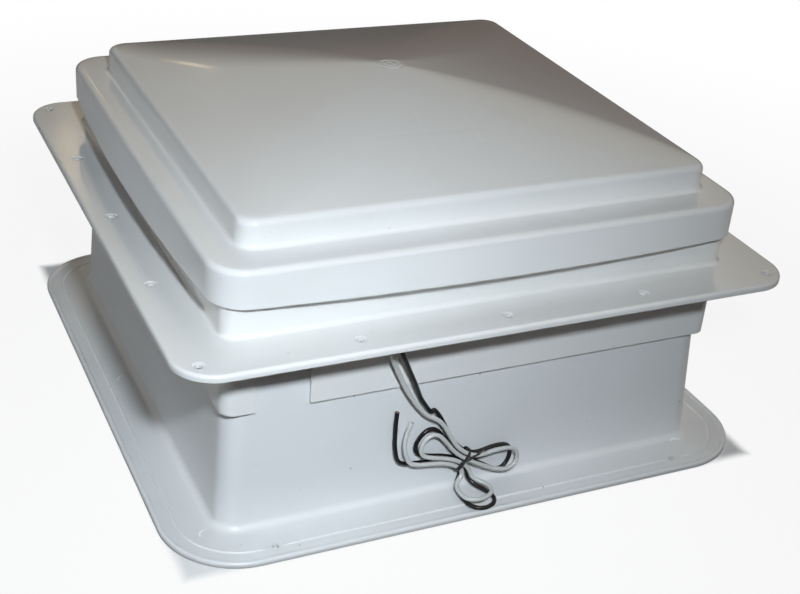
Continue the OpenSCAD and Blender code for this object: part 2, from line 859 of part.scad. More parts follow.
// Motor, bracket and fan
module motor_bracket() {
    edge_y = tube_half - strap_edge_clear;
    color([0.75, 0.76, 0.77]) difference() {
        union() {
            box([-strap_w / 2, -tube_half, strap_z], [strap_w / 2, tube_half, strap_z + sheet_t]);
            for (k = [0, 1]) rotate(180 * k) {
                box([-strap_w / 2, tube_half - sheet_t, strap_z - tab_h],
                    [strap_w / 2, tube_half, strap_z + sheet_t]);
                box([strap_w / 2 - sheet_t, -edge_y, strap_z],
                    [strap_w / 2, edge_y, strap_z + sheet_t + strap_edge_h]);
            }
        }
        rod_z(0, 0, strap_z - past, strap_z + sheet_t + past, motor_boss_d + screw_play);
        for (s = [-1, 1]) translate([0, s * motor_screw_y, strap_z - past])
            cylinder(d = motor_screw_d + screw_play, h = sheet_t + 2 * past);
        tab_screw_places() up(-past) cylinder(d = wall_screw_d + screw_play / 2, h = sheet_t + 2 * past);
    }
}

module bracket_screws() {
    color([0.7, 0.71, 0.72]) tab_screw_places()
        pan_screw(wall_screw_d - 2 * fit, sheet_t + wall_screw_in - tip_gap, screw_head_d);
}

module motor_can() {
    low = strap_z - motor_h;
    color([0.6, 0.61, 0.62]) difference() {
        union() {
            rod_z(0, 0, low, strap_z, motor_d);
            rod_z(0, 0, strap_z - weld, strap_z + motor_boss_h, motor_boss_d);
        }
        rod_z(0, 0, low + motor_floor, strap_z + motor_boss_h + past, shaft_d + 2 * fit);
        for (s = [-1, 1])
            rod_z(0, s * motor_screw_y, strap_z - motor_screw_depth, strap_z + past, motor_screw_d);
    }
}

module motor_end_cap() {
    top = strap_z - motor_h;
    color([0.2, 0.2, 0.21]) {
        rod_z(0, 0, top - motor_cap_h, top, motor_d + 2 * motor_cap_over);
        for (s = [-1, 1]) translate([s * terminal_x, 0, top - terminal_down]) box(
            [-terminal_w / 2, 0, -terminal_t], [terminal_w / 2, motor_d / 2 + terminal_len, 0]);
    }
}

module motor_screws() {
    color([0.72, 0.73, 0.74]) for (s = [-1, 1])
        translate([0, s * motor_screw_y, strap_z + sheet_t]) rotate([180, 0, 0])
            pan_screw(motor_screw_d - 2 * fit, sheet_t + motor_screw_depth - tip_gap, screw_head_d);
}

module motor_shaft() {
    color([0.78, 0.79, 0.8]) rod_z(0, 0, strap_z - motor_h + motor_floor + slide, shaft_top, shaft_d);
}

// A blade: thin cambered sections from the hub out to the tip, flatter towards the tip
module fan_blade() {
    stations = 6;
    half_n = 4;
    n = 2 * (half_n + 1);
    points = [
        for (i = [0:stations - 1]) let (
            f = i / (stations - 1),
            r = hub_d / 2 - blade_in + f * (fan_d / 2 - hub_d / 2 + blade_in),
            chord = blade_root + blade_spread * sin(70 * f + 10) - blade_trim * pow(f, 6),
            pitch = 38 - 18 * f)
            for (k = [0:n - 1]) let (
                over = k > half_n,
                s = (over ? n - 1 - k : k) / half_n - 0.5,
                lift = blade_camber * (0.25 - s * s) + (over ? blade_t / 2 : -blade_t / 2),
                c = s * chord)
                [r, c * cos(pitch) - lift * sin(pitch), blade_z + c * sin(pitch) + lift * cos(pitch)]
    ];
    last = (stations - 1) * n;
    faces = concat(
        [for (i = [0:stations - 2]) each band(i, i + 1, n)],
        [for (k = [1:n - 2]) [0, k, k + 1]],
        [for (k = [1:n - 2]) [last, last + k + 1, last + k]]
    );
    polyhedron(points, faces);
}

module fan_rotor() {
    color([0.16, 0.16, 0.17]) difference() {
        union() {
            rod_z(0, 0, hub_z, hub_z + hub_h, hub_d);
            for (k = [0:fan_blades - 1]) rotate(360 * k / fan_blades) fan_blade();
        }
        rod_z(0, 0, hub_z - past, hub_z + hub_h + past, shaft_d + fit);
    }
}

module fan_clip() {
    color([0.7, 0.71, 0.72]) difference() {
        rod_z(0, 0, hub_z + hub_h, hub_z + hub_h + clip_h, clip_d);
        rod_z(0, 0, hub_z, hub_z + hub_h + 2 * clip_h, shaft_d + fit);
    }
}

// Lift drive
module lift_bracket() {
    y0 = box_y0 - box_wall;
    y1 = box_y1 + box_wall;
    color([0.75, 0.76, 0.77]) difference() {
        union() {
            box([box_in_x - box_wall, y0, shelf_top - sheet_t], [tube_half, y1, shelf_top]);
            box([tube_half - sheet_t, y0, shelf_top - sheet_t], [tube_half, y1, shelf_top + lift_flange_h]);
        }
        rod_z(gear_x, worm_y, shelf_top - sheet_t - past, shelf_top + past, crank_d + 2 * crank_clear);
        lift_screw_places() up(-past) cylinder(d = wall_screw_d + screw_play / 2, h = sheet_t + 2 * past);
        for (s = [-1, 1]) translate([gear_x + s * box_half / 2, pivot_y, shelf_top - sheet_t - past])
            cylinder(d = box_screw_d + screw_play, h = sheet_t + 2 * past);
    }
}

module lift_bracket_screws() {
    color([0.7, 0.71, 0.72]) lift_screw_places()
        pan_screw(wall_screw_d - 2 * fit, sheet_t + wall_screw_in - tip_gap, screw_head_d);
}

module box_screw_places() {
    ys = [box_y0 + box_screw_in, box_y1 - box_screw_in];
    zs = [box_z0 + box_screw_in, box_z1 - box_screw_in];
    for (y = ys, z = zs)
        translate([box_out_x + box_wall, y, z]) rotate([0, -90, 0]) children();
}

module gear_box(x0, x1) {
    box([x0, box_y0 - box_wall, shelf_top], [x1, box_y1 + box_wall, box_z1 + box_wall]);
}

module gear_housing() {
    color([0.9, 0.9, 0.88]) difference() {
        gear_box(box_in_x - box_wall, box_out_x);
        difference() {
            box([box_in_x, box_y0, box_z0], [box_out_x + past, box_y1, box_z1]);
            box_screw_places() up(-past) cylinder(d = box_corner, h = box_out_x - box_in_x + 3 * box_wall);
        }
        box_screw_places() up(box_wall - past) cylinder(d = box_screw_d, h = box_screw_depth + past);
        rod_x(box_in_x - box_wall - past, box_in_x + past, arm_shaft_d + 2 * fit, pivot_y, pivot_z);
        rod_z(gear_x, worm_y, shelf_top - past, box_z1 + box_wall + past, crank_d + 2 * fit);
    }
}

module gear_cover() {
    color([0.86, 0.86, 0.84]) difference() {
        gear_box(box_out_x, box_out_x + box_wall);
        rod_x(box_out_x - past, box_out_x + 2 * box_wall, arm_shaft_d + 2 * fit, pivot_y, pivot_z);
        box_screw_places() up(-past) cylinder(d = box_screw_d + screw_play, h = box_wall + 2 * past);
    }
}

module gear_screws() {
    color([0.7, 0.71, 0.72]) box_screw_places()
        pan_screw(box_screw_d - 2 * fit, box_wall + box_screw_depth - tip_gap, box_head_d);
}

module crank_shaft() {
    top = box_z1 + box_wall - slide;
    color([0.78, 0.79, 0.8]) difference() {
        union() {
            rod_z(gear_x, worm_y, crank_low, top, crank_d);
            rod_z(gear_x, worm_y, box_z0 + slide, box_z0 + slide + collar_h, collar_d);
            rod_z(gear_x, worm_y, box_z1 - slide - collar_h, box_z1 - slide, collar_d);
        }
        rod_z(gear_x, worm_y, crank_low - past, crank_low + knob_screw_depth, knob_screw_d);
    }
}

// One thread turn seen along the axis: a cam whose radius follows the tooth profile
function worm_cam(a) = let (
    s = abs((a + 540) % 360 - 180) / 360 * lead_pitch,
    rise = max(0, min(1, (thread_foot - s) / (thread_foot - thread_tip))))
    worm_r - worm_ded + (worm_add + worm_ded) * rise;

module worm() {
    turn = 360 * worm_len / lead_pitch;
    color([0.8, 0.68, 0.4]) translate([gear_x, worm_y, pivot_z - worm_len / 2]) difference() {
        linear_extrude(worm_len, twist = -turn, slices = ceil(turn / 22.5), $fn = 8) rotate(90 - turn / 2)
            polygon([for (a = [0:18:342]) worm_cam(a) * [cos(a), sin(a)]]);
        up(-past) cylinder(d = crank_d + fit, h = worm_len + 2 * past);
    }
}

module tooth_outline() {
    root = wheel_r - tooth_ded;
    tip = wheel_r + tooth_add;
    for (k = [0:wheel_teeth - 1]) rotate(180 + 360 * (k + 0.5) / wheel_teeth) polygon([
        [root - weld, -tooth_foot], [root, -tooth_foot], [tip, -tooth_tip],
        [tip, tooth_tip], [root, tooth_foot], [root - weld, tooth_foot]
    ]);
    circle(root);
}

module worm_wheel() {
    color([0.92, 0.91, 0.86]) difference() {
        union() {
            along_x(gear_x - wheel_face / 2, gear_x + wheel_face / 2)
                translate([pivot_y, pivot_z]) tooth_outline();
            rod_x(box_in_x + slide, box_out_x - slide, arm_boss_d, pivot_y, pivot_z);
        }
        rod_x(box_in_x - past, box_out_x + past, arm_shaft_d + fit, pivot_y, pivot_z);
    }
}

module arm_shaft() {
    color([0.78, 0.79, 0.8]) rod_x(box_in_x - box_wall, arm_out_x, arm_shaft_d, pivot_y, pivot_z);
}

module arm_outline() {
    translate([pivot_y, pivot_z]) rotate(atan2(arm_drop, -arm_back)) difference() {
        union() {
            circle(arm_w / 2 + arm_eye);
            translate([0, -arm_w / 2]) square([arm_len, arm_w]);
            translate([arm_len, 0]) circle(arm_w / 2 + arm_eye / 2);
        }
        translate([arm_len, 0]) circle(d = shoe_pin_d + fit);
        for (k = [1:arm_holes]) translate([arm_len * k / (arm_holes + 1), 0]) circle(arm_w / 4);
    }
}

module lift_arm() {
    boss_x = box_out_x + box_wall + slide;
    color([0.75, 0.76, 0.77]) difference() {
        union() {
            along_x(arm_x, arm_out_x) arm_outline();
            rod_x(boss_x, arm_x + weld, arm_boss_d, pivot_y, pivot_z);
        }
        rod_x(boss_x - past, arm_out_x + past, arm_shaft_d + fit, pivot_y, pivot_z);
    }
}

shoe_y = hinge_y - shoe_closed;
shoe_out_x = rail_x + rail_t + slide + shoe_flange_t;

module shoe_pin() {
    head = shoe_pin_d + 2 * shoe_pin_over;
    color([0.72, 0.73, 0.74]) {
        rod_x(arm_x - shoe_pin_head_t, shoe_out_x + slide + shoe_pin_head_t, shoe_pin_d, shoe_y, hinge_z);
        rod_x(arm_x - shoe_pin_head_t, arm_x, head, shoe_y, hinge_z);
        rod_x(shoe_out_x + slide, shoe_out_x + slide + shoe_pin_head_t, head, shoe_y, hinge_z);
    }
}

module slide_shoe() {
    core = rail_slot - 2 * slide;
    over = core + 2 * shoe_flange_over;
    color([0.93, 0.92, 0.88]) difference() {
        union() {
            along_x(rail_x - slide - weld, rail_x + rail_t + slide + weld)
                translate([shoe_y, hinge_z]) square([shoe_len, core], center = true);
            for (x = [rail_x - slide - shoe_flange_t, rail_x + rail_t + slide])
                along_x(x, x + shoe_flange_t)
                    translate([shoe_y, hinge_z]) square([shoe_len, over], center = true);
        }
        rod_x(arm_x, shoe_out_x + past, shoe_pin_d + 2 * fit, shoe_y, hinge_z);
    }
}

module rail_rivet_places() {
    run = rail_back_y - rail_front_y;
    x = rail_x + (rail_t + rail_flange_w) / 2;
    for (f = rail_rivets_at) translate([x, rail_front_y + f * run, ledge_under - rail_flange_t]) children();
}

module lid_rail() {
    y0 = rail_front_y - rail_end;
    y1 = rail_back_y + rail_end;
    color([0.75, 0.76, 0.77]) difference() {
        union() {
            box([rail_x, y0, hinge_z - rail_below], [rail_x + rail_t, y1, ledge_under]);
            box([rail_x, y0, ledge_under - rail_flange_t], [rail_x + rail_flange_w, y1, ledge_under]);
        }
        box([rail_x - past, rail_front_y, hinge_z - rail_slot / 2],
            [rail_x + rail_t + past, rail_back_y, hinge_z + rail_slot / 2]);
        rail_rivet_places() cylinder(d = rivet_d + 2 * fit, h = 4 * rail_flange_t, center = true);
    }
}

module rail_rivets() {
    color([0.7, 0.71, 0.72]) rail_rivet_places() rivet(rail_flange_t, rail_rivet_head_r);
}

module crank_knob() {
    low = crank_low - knob_below;
    color([0.9, 0.9, 0.88]) translate([gear_x, worm_y, 0]) difference() {
        union() {
            rod_z(0, 0, low, low + knob_h, knob_d);
            rod_z(0, 0, low, low + knob_h + knob_boss_h, knob_boss_d);
        }
        for (k = [0:knob_flutes - 1]) rotate(360 * (k + 0.5) / knob_flutes)
            rod_z(knob_d / 2 + flute_out, 0, low - past, low + knob_h + past, flute_d);
        rod_z(0, 0, crank_low, low + knob_h + knob_boss_h + past, crank_d + fit);
        rod_z(0, 0, low - past, crank_low + past, knob_screw_d + screw_play);
        rod_z(0, 0, low - past, low + knob_sink, knob_sink_d);
    }
}

module knob_screw() {
    color([0.72, 0.73, 0.74]) translate([gear_x, worm_y, crank_low - knob_below + knob_sink])
        pan_screw(knob_screw_d - 2 * fit, knob_screw_len, screw_head_d);
}

module crank_bush() {
    color([0.93, 0.92, 0.88]) difference() {
        union() {
            rod_z(gear_x, worm_y, frame_z - bush_flange_t, gusset_z + bush_flange_t, bush_d);
            rod_z(gear_x, worm_y, frame_z - bush_flange_t, frame_z, bush_d + 2 * bush_flange);
        }
        rod_z(gear_x, worm_y, frame_z - 2 * bush_flange_t, gusset_z + 2 * bush_flange_t, crank_d + 2 * fit);
    }
}

// Switch, in the screen frame's plate, facing the room
module switch_body() {
    wide = switch_w / 2;
    long = switch_l / 2;
    axis_z = frame_z + rocker_axis;
    color([0.13, 0.13, 0.14]) translate([gear_x, switch_y, 0]) difference() {
        union() {
            box([-wide + 2 * fit, -long + 2 * fit, frame_z - weld],
                [wide - 2 * fit, long - 2 * fit, frame_z + switch_h]);
            box([-wide - switch_rim, -long - switch_rim, frame_z - switch_rim_t],
                [wide + switch_rim, long + switch_rim, frame_z]);
        }
        box([-wide + switch_wall, -long + switch_wall, frame_z - switch_rim_t - past],
            [wide - switch_wall, long - switch_wall, frame_z + switch_cavity]);
        rod_x(-wide + rocker_pin_wall, wide - rocker_pin_wall, rocker_pin_d + 2 * fit, 0, axis_z);
    }
}

module switch_rocker() {
    wide = switch_w / 2 - switch_wall - slide;
    long = switch_l / 2 - switch_wall - rocker_gap;
    pin = switch_w / 2 - rocker_pin_wall - slide;
    color([0.08, 0.08, 0.09])
    translate([gear_x, switch_y, frame_z + rocker_axis]) rotate([rocker_tilt, 0, 0]) {
        along_x(-wide, wide) polygon([
            [-long, 0], [-long, -rocker_deep], [-long / 2, rocker_dish * 0.75 - rocker_deep],
            [0, rocker_dish - rocker_deep], [long / 2, rocker_dish * 0.75 - rocker_deep],
            [long, -rocker_deep], [long, 0], [rocker_top, rocker_top], [-rocker_top, rocker_top]
        ]);
        rod_x(-pin, pin, rocker_pin_d, 0, 0);
    }
}

// Leads
module lead_grommet() {
    color([0.12, 0.12, 0.12]) translate([lead_x, 0, lead_z]) rotate([90, 0, 0]) {
        up(tube_half) cylinder(d = grommet_d - 2 * fit, h = skirt_wall);
        up(skirt_half) cylinder(d = grommet_flange_d, h = grommet_flange_t);
        up(tube_half - grommet_flange_t) cylinder(d = grommet_flange_d, h = grommet_flange_t);
    }
}

// Wraps a flat layout (across, up) at a height off the surface over wall, foot and flange
function wrap(p, off) = let (
    bend = foot_bend * PI / 2,
    wall_y = garnish_half_at(garnish_t + foot_bend),
    a = max(0, min(90, -p[1] / bend * 90)),
    r = foot_bend - off,
    on_wall = max(0, p[1]),
    on_flange = max(0, -p[1] - bend))
    [p[0],
     -wall_y - foot_bend + r * cos(a) - on_flange + on_wall * garnish_slope,
     garnish_t + foot_bend - r * sin(a) + on_wall];

function ease(f) = let (c = max(0, min(1, f))) c * c * (3 - 2 * c);

// A point at f round one lobe of the hank, which leaves and re-enters the waist at strands v0, v1
function lobe_point(f, length, width, v0, v1, turn) = let (
    u = length * sin(180 * f),
    v = v0 + (v1 - v0) * f + sign(v0 - v1) * width * sin(360 * f) * sin(180 * f),
    a = hank_turn + turn * ease(abs(u) / fan_out))
    [hank_waist[0] + u * cos(a) - v * sin(a), hank_waist[1] + u * sin(a) + v * cos(a)];

function lobe(f0, f1, n, length, width, v0, v1, turn) = [
    for (i = [0:n - 1]) lobe_point(f0 + (f1 - f0) * i / n, length, width, v0, v1, turn)
];

// Lobes of one lead's hank: length and width of the outer, right, inner and low lobes
white_lobes = [[-44, 19], [42, 12], [-36, 10], [46, 13.5]];
black_lobes = [[-50, 24], [38, 12], [-38, 12], [51, 12]];
white_tail = [[-55, 26], [-55, 33], [-53.5, 40], [-51, 46]];
black_tail = [[-60, 25], [-60.5, 32], [-60.5, 39], [-60.5, 46], [-60, 53]];
right_turn = 15;
low_turn = -43;

function hank_route(s, tail, density) = let (
    n = rings_per_loop * density, a = 1.5 * strand_step, b = 0.5 * strand_step)
    concat(
        lobe(0.27, 0, n / 3, s[0][0], s[0][1], a, -a, 0),
        lobe(0, 1, n, s[1][0], s[1][1], a, b, right_turn),
        lobe(0, 1, n, s[2][0], s[2][1], b, -b, 0),
        lobe(0, 1, n, s[3][0], s[3][1], -b, -a, low_turn),
        lobe(1, 0.66, n / 3, s[0][0], s[0][1], a, -a, 0),
        tail
    );

function hank_points(s, tail, off, density) = [for (p = hank_route(s, tail, density)) wrap(p, off)];

white_hank_points = hank_points(white_lobes, white_tail, hank_off_white, 1);
black_hank_points = hank_points(black_lobes, black_tail, hank_off_black, 1);

// Least gap of a tube to itself, measured between points more than a bend apart
function self_gap(p, skip) = min([
    for (i = [0:len(p) - 1 - skip]) min([for (j = [i + skip:len(p) - 1]) norm(p[i] - p[j])])
]) - lead_d;

function lead_points(route, drop, start_x, hank) = let (stretch = (lead_z - hank[0][2]) / drop) concat(
    [[start_x, grommet_face_y, lead_z]],
    [for (p = route) [start_x + p[0], grommet_face_y + p[1], lead_z + stretch * p[2]]],
    [hank[0] - 1.5 * lead_d * unit(hank[1] - hank[0]), hank[0]]
);

white_lead_points = lead_points(white_route, white_drop, lead_x - lead_gap, white_hank_points);
black_lead_points = lead_points(black_route, black_drop, lead_x + lead_gap, black_hank_points);

module lead_white() {
    color([0.9, 0.9, 0.88]) tube(white_lead_points, lead_r, 8);
}

module lead_black() {
    color([0.1, 0.1, 0.1]) tube(black_lead_points, lead_r, 8);
}

module hank_white() {
    echo(least_gap_white = self_gap(hank_points(white_lobes, white_tail, hank_off_white, 2), 10));
    color([0.9, 0.9, 0.88]) tube(white_hank_points, lead_r, 6);
}

module hank_black() {
    echo(least_gap_black = self_gap(hank_points(black_lobes, black_tail, hank_off_black, 2), 10));
    color([0.1, 0.1, 0.1]) tube(black_hank_points, lead_r, 6);
}

// A wire tie round the waist of the hank, its two ends standing off to the upper right
module hank_tie() {
    low = hank_off_black - lead_r - seat;
    high = hank_off_white + lead_r + seat;
    half = 2 * strand_step + seat;
    waist_z = garnish_t + foot_bend + hank_waist[1];
    color([0.07, 0.07, 0.07])
        translate([hank_waist[0], -garnish_half_at(waist_z), waist_z])
        rotate([-atan(garnish_slope), 0, 0]) rotate([0, -hank_turn, 0]) {
            rotate([0, 90, 0]) linear_extrude(tie_w, center = true) difference() {
                translate([-half - tie_t, -high - tie_t])
                    square([2 * (half + tie_t), high - low + 2 * tie_t]);
                translate([-half, -high]) square([2 * half, high - low]);
            }
            for (a = tie_ends) translate([0, -high - tie_t / 2, tie_end_up]) rotate([0, a, 0])
                cylinder(d = tie_end_d, h = tie_end_len);
        }
}

lid();
lid_seal();
lid_hinge_left();
lid_hinge_right();
hinge_rivets();
hinge_pins();
roof_base();
inner_garnish();
screen_frame();
screen_mesh();
screen_screws();
motor_bracket();
bracket_screws();
motor_can();
motor_end_cap();
motor_screws();
motor_shaft();
fan_rotor();
fan_clip();
lift_bracket();
lift_bracket_screws();
gear_housing();
gear_cover();
gear_screws();
crank_shaft();
worm();
worm_wheel();
arm_shaft();
lift_arm();
shoe_pin();
slide_shoe();
lid_rail();
rail_rivets();
crank_knob();
knob_screw();
crank_bush();
switch_body();
switch_rocker();
lead_grommet();
lead_white();
lead_black();
hank_white();
hank_black();
hank_tie();
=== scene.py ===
"""Looks of a square caravan roof vent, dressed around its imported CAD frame."""

import logging
import math
from abc import ABC, abstractmethod
from dataclasses import dataclass
from enum import Enum
from typing import Any, Iterable, Sequence

import bmesh
import bpy
from mathutils import Euler, Matrix, Quaternion, Vector


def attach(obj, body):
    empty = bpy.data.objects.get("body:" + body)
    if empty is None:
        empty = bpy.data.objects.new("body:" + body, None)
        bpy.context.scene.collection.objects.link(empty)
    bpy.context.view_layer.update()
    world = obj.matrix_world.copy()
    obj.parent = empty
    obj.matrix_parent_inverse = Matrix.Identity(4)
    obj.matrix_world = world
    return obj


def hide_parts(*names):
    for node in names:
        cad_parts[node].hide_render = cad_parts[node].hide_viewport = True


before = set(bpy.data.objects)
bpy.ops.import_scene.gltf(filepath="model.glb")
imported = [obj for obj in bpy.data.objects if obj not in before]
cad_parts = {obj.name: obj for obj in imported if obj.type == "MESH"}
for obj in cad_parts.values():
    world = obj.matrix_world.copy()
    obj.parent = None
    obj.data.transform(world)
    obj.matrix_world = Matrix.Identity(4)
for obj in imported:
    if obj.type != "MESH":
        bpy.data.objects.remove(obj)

LOG = logging.getLogger("roof_vent")
MM = 0.001
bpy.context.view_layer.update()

BMesh = bmesh.types.BMesh
Material = bpy.types.Material
Piece = bpy.types.Object
Socket = bpy.types.NodeSocket
Colour = tuple[float, float, float]
Point = tuple[float, float, float]
Span = tuple[float, float]

WHITE = (1.0, 1.0, 1.0)
MOTTLE_SCALE = 11.0
CLOUD_SCALE = 17.0
PATCH_SCALE = 23.0
RUB_SCALE = 60.0
SPECK_CHANCE = 0.12
SCUFF_WAYS = (((0.2, 0.5, 0.9), (1.0, 14.0, 1.0)), ((0.6, 0.1, -0.7), (11.0, 1.0, 1.0)))
BRUSH_STRETCH = (1.0, 0.06, 1.0)


class Body(Enum):
    """The rigid bodies that the dressed pieces ride on."""

    BASE = "base"
    LID = "lid"
    CRANK = "crank"
    FAN = "fan"


class Side(Enum):
    """Which way a driven fastener points."""

    UP = (0.0, 0.0, 1.0)
    DOWN = (0.0, 0.0, -1.0)
    FRONT = (0.0, -1.0, 0.0)
    BACK = (0.0, 1.0, 0.0)
    LEFT = (-1.0, 0.0, 0.0)
    RIGHT = (1.0, 0.0, 0.0)

    def turn(self) -> Euler:
        """The rotation that takes +Z to this direction."""
        return Vector((0, 0, 1)).rotation_difference(Vector(self.value)).to_euler()


class NodeKit:
    """Adds and wires the nodes of one tree."""

    value_operations = ("LENGTH", "DISTANCE", "DOT_PRODUCT")

    def __init__(self, tree: bpy.types.NodeTree) -> None:
        """Keeps the tree that the nodes go into."""
        self.tree = tree

    def node(self, kind: str, inputs: dict[Any, Any] | None = None, **settings: Any) -> bpy.types.Node:
        """Adds one node.

        Args:
            kind: the node's type name.
            inputs: value or output socket for each input, by name or index.
            settings: the node's own properties.

        Returns:
            The new node.
        """
        made = self.tree.nodes.new(kind)
        for key, value in settings.items():
            setattr(made, key, value)
        for key, value in (inputs or {}).items():
            if isinstance(value, Socket):
                self.tree.links.new(value, made.inputs[key])
            else:
                made.inputs[key].default_value = value
        return made

    def effect(self, effect: "Effect", **inputs: float) -> Any:
        """Places a shared shader group with its own values and gives its outputs."""
        return self.node("ShaderNodeGroup", inputs, node_tree=effect.tree()).outputs

    def math(self, operation: str, a: Any, b: Any = 0.0, c: Any = 0.0, clamp: bool = False) -> Socket:
        """One Math node.

        Args:
            operation: Blender's name of the operation.
            a: first value or socket.
            b: second value or socket.
            c: third value or socket.
            clamp: whether the result stays between 0 and 1.

        Returns:
            The result's socket.
        """
        inputs = {0: a, 1: b, 2: c}
        return self.node("ShaderNodeMath", inputs, operation=operation, use_clamp=clamp).outputs[0]

    def vector(self, operation: str, a: Any, b: Any = (0.0, 0.0, 0.0)) -> Socket:
        """One Vector Math node.

        Args:
            operation: Blender's name of the operation.
            a: first vector or socket.
            b: second vector or socket.

        Returns:
            The socket of the result, a value or a vector.
        """
        made = self.node("ShaderNodeVectorMath", {0: a, 1: b}, operation=operation)
        return made.outputs["Value" if operation in self.value_operations else "Vector"]

    def blend(self, factor: Any, a: Any, b: Any) -> Socket:
        """Mixes two colours.

        Args:
            factor: share of the second colour.
            a: first colour or socket.
            b: second colour or socket.

        Returns:
            The mixed colour's socket.
        """
        inputs = {0: factor, 6: rgba(a), 7: rgba(b)}
        return self.node("ShaderNodeMix", inputs, data_type="RGBA").outputs[2]

    def either(self, factor: Socket, a: Socket, b: Socket) -> Socket:
        """Mixes two shaders, by the share of the second."""
        return self.node("ShaderNodeMixShader", {0: factor, 1: a, 2: b}).outputs[0]

    def rise(self, value: Any, low: float, high: float) -> Socket:
        """A smooth step from 0 at low to 1 at high, of which high may be the smaller.

        Args:
            value: what is compared.
            low: where the step is 0.
            high: where it is 1.

        Returns:
            The step's socket.
        """
        inputs = {"Value": value, "From Min": low, "From Max": high}
        return self.node("ShaderNodeMapRange", inputs, interpolation_type="SMOOTHSTEP").outputs["Result"]

    def noise(self, at: Any, scale: Any, detail: float = 2.0) -> Socket:
        """A noise value.

        Args:
            at: coordinates.
            scale: noise scale or socket.
            detail: octaves.

        Returns:
            The noise's socket.
        """
        inputs = {"Vector": at, "Scale": scale, "Detail": detail}
        return self.node("ShaderNodeTexNoise", inputs).outputs[0]

    def here(self) -> Socket:
        """The piece's own coordinates, in metres."""
        return self.node("ShaderNodeTexCoord").outputs["Object"]


def rgba(value: Any) -> Any:
    """A colour with its alpha, or the socket as it is."""
    return value if isinstance(value, Socket) else (*value[:3], 1.0)


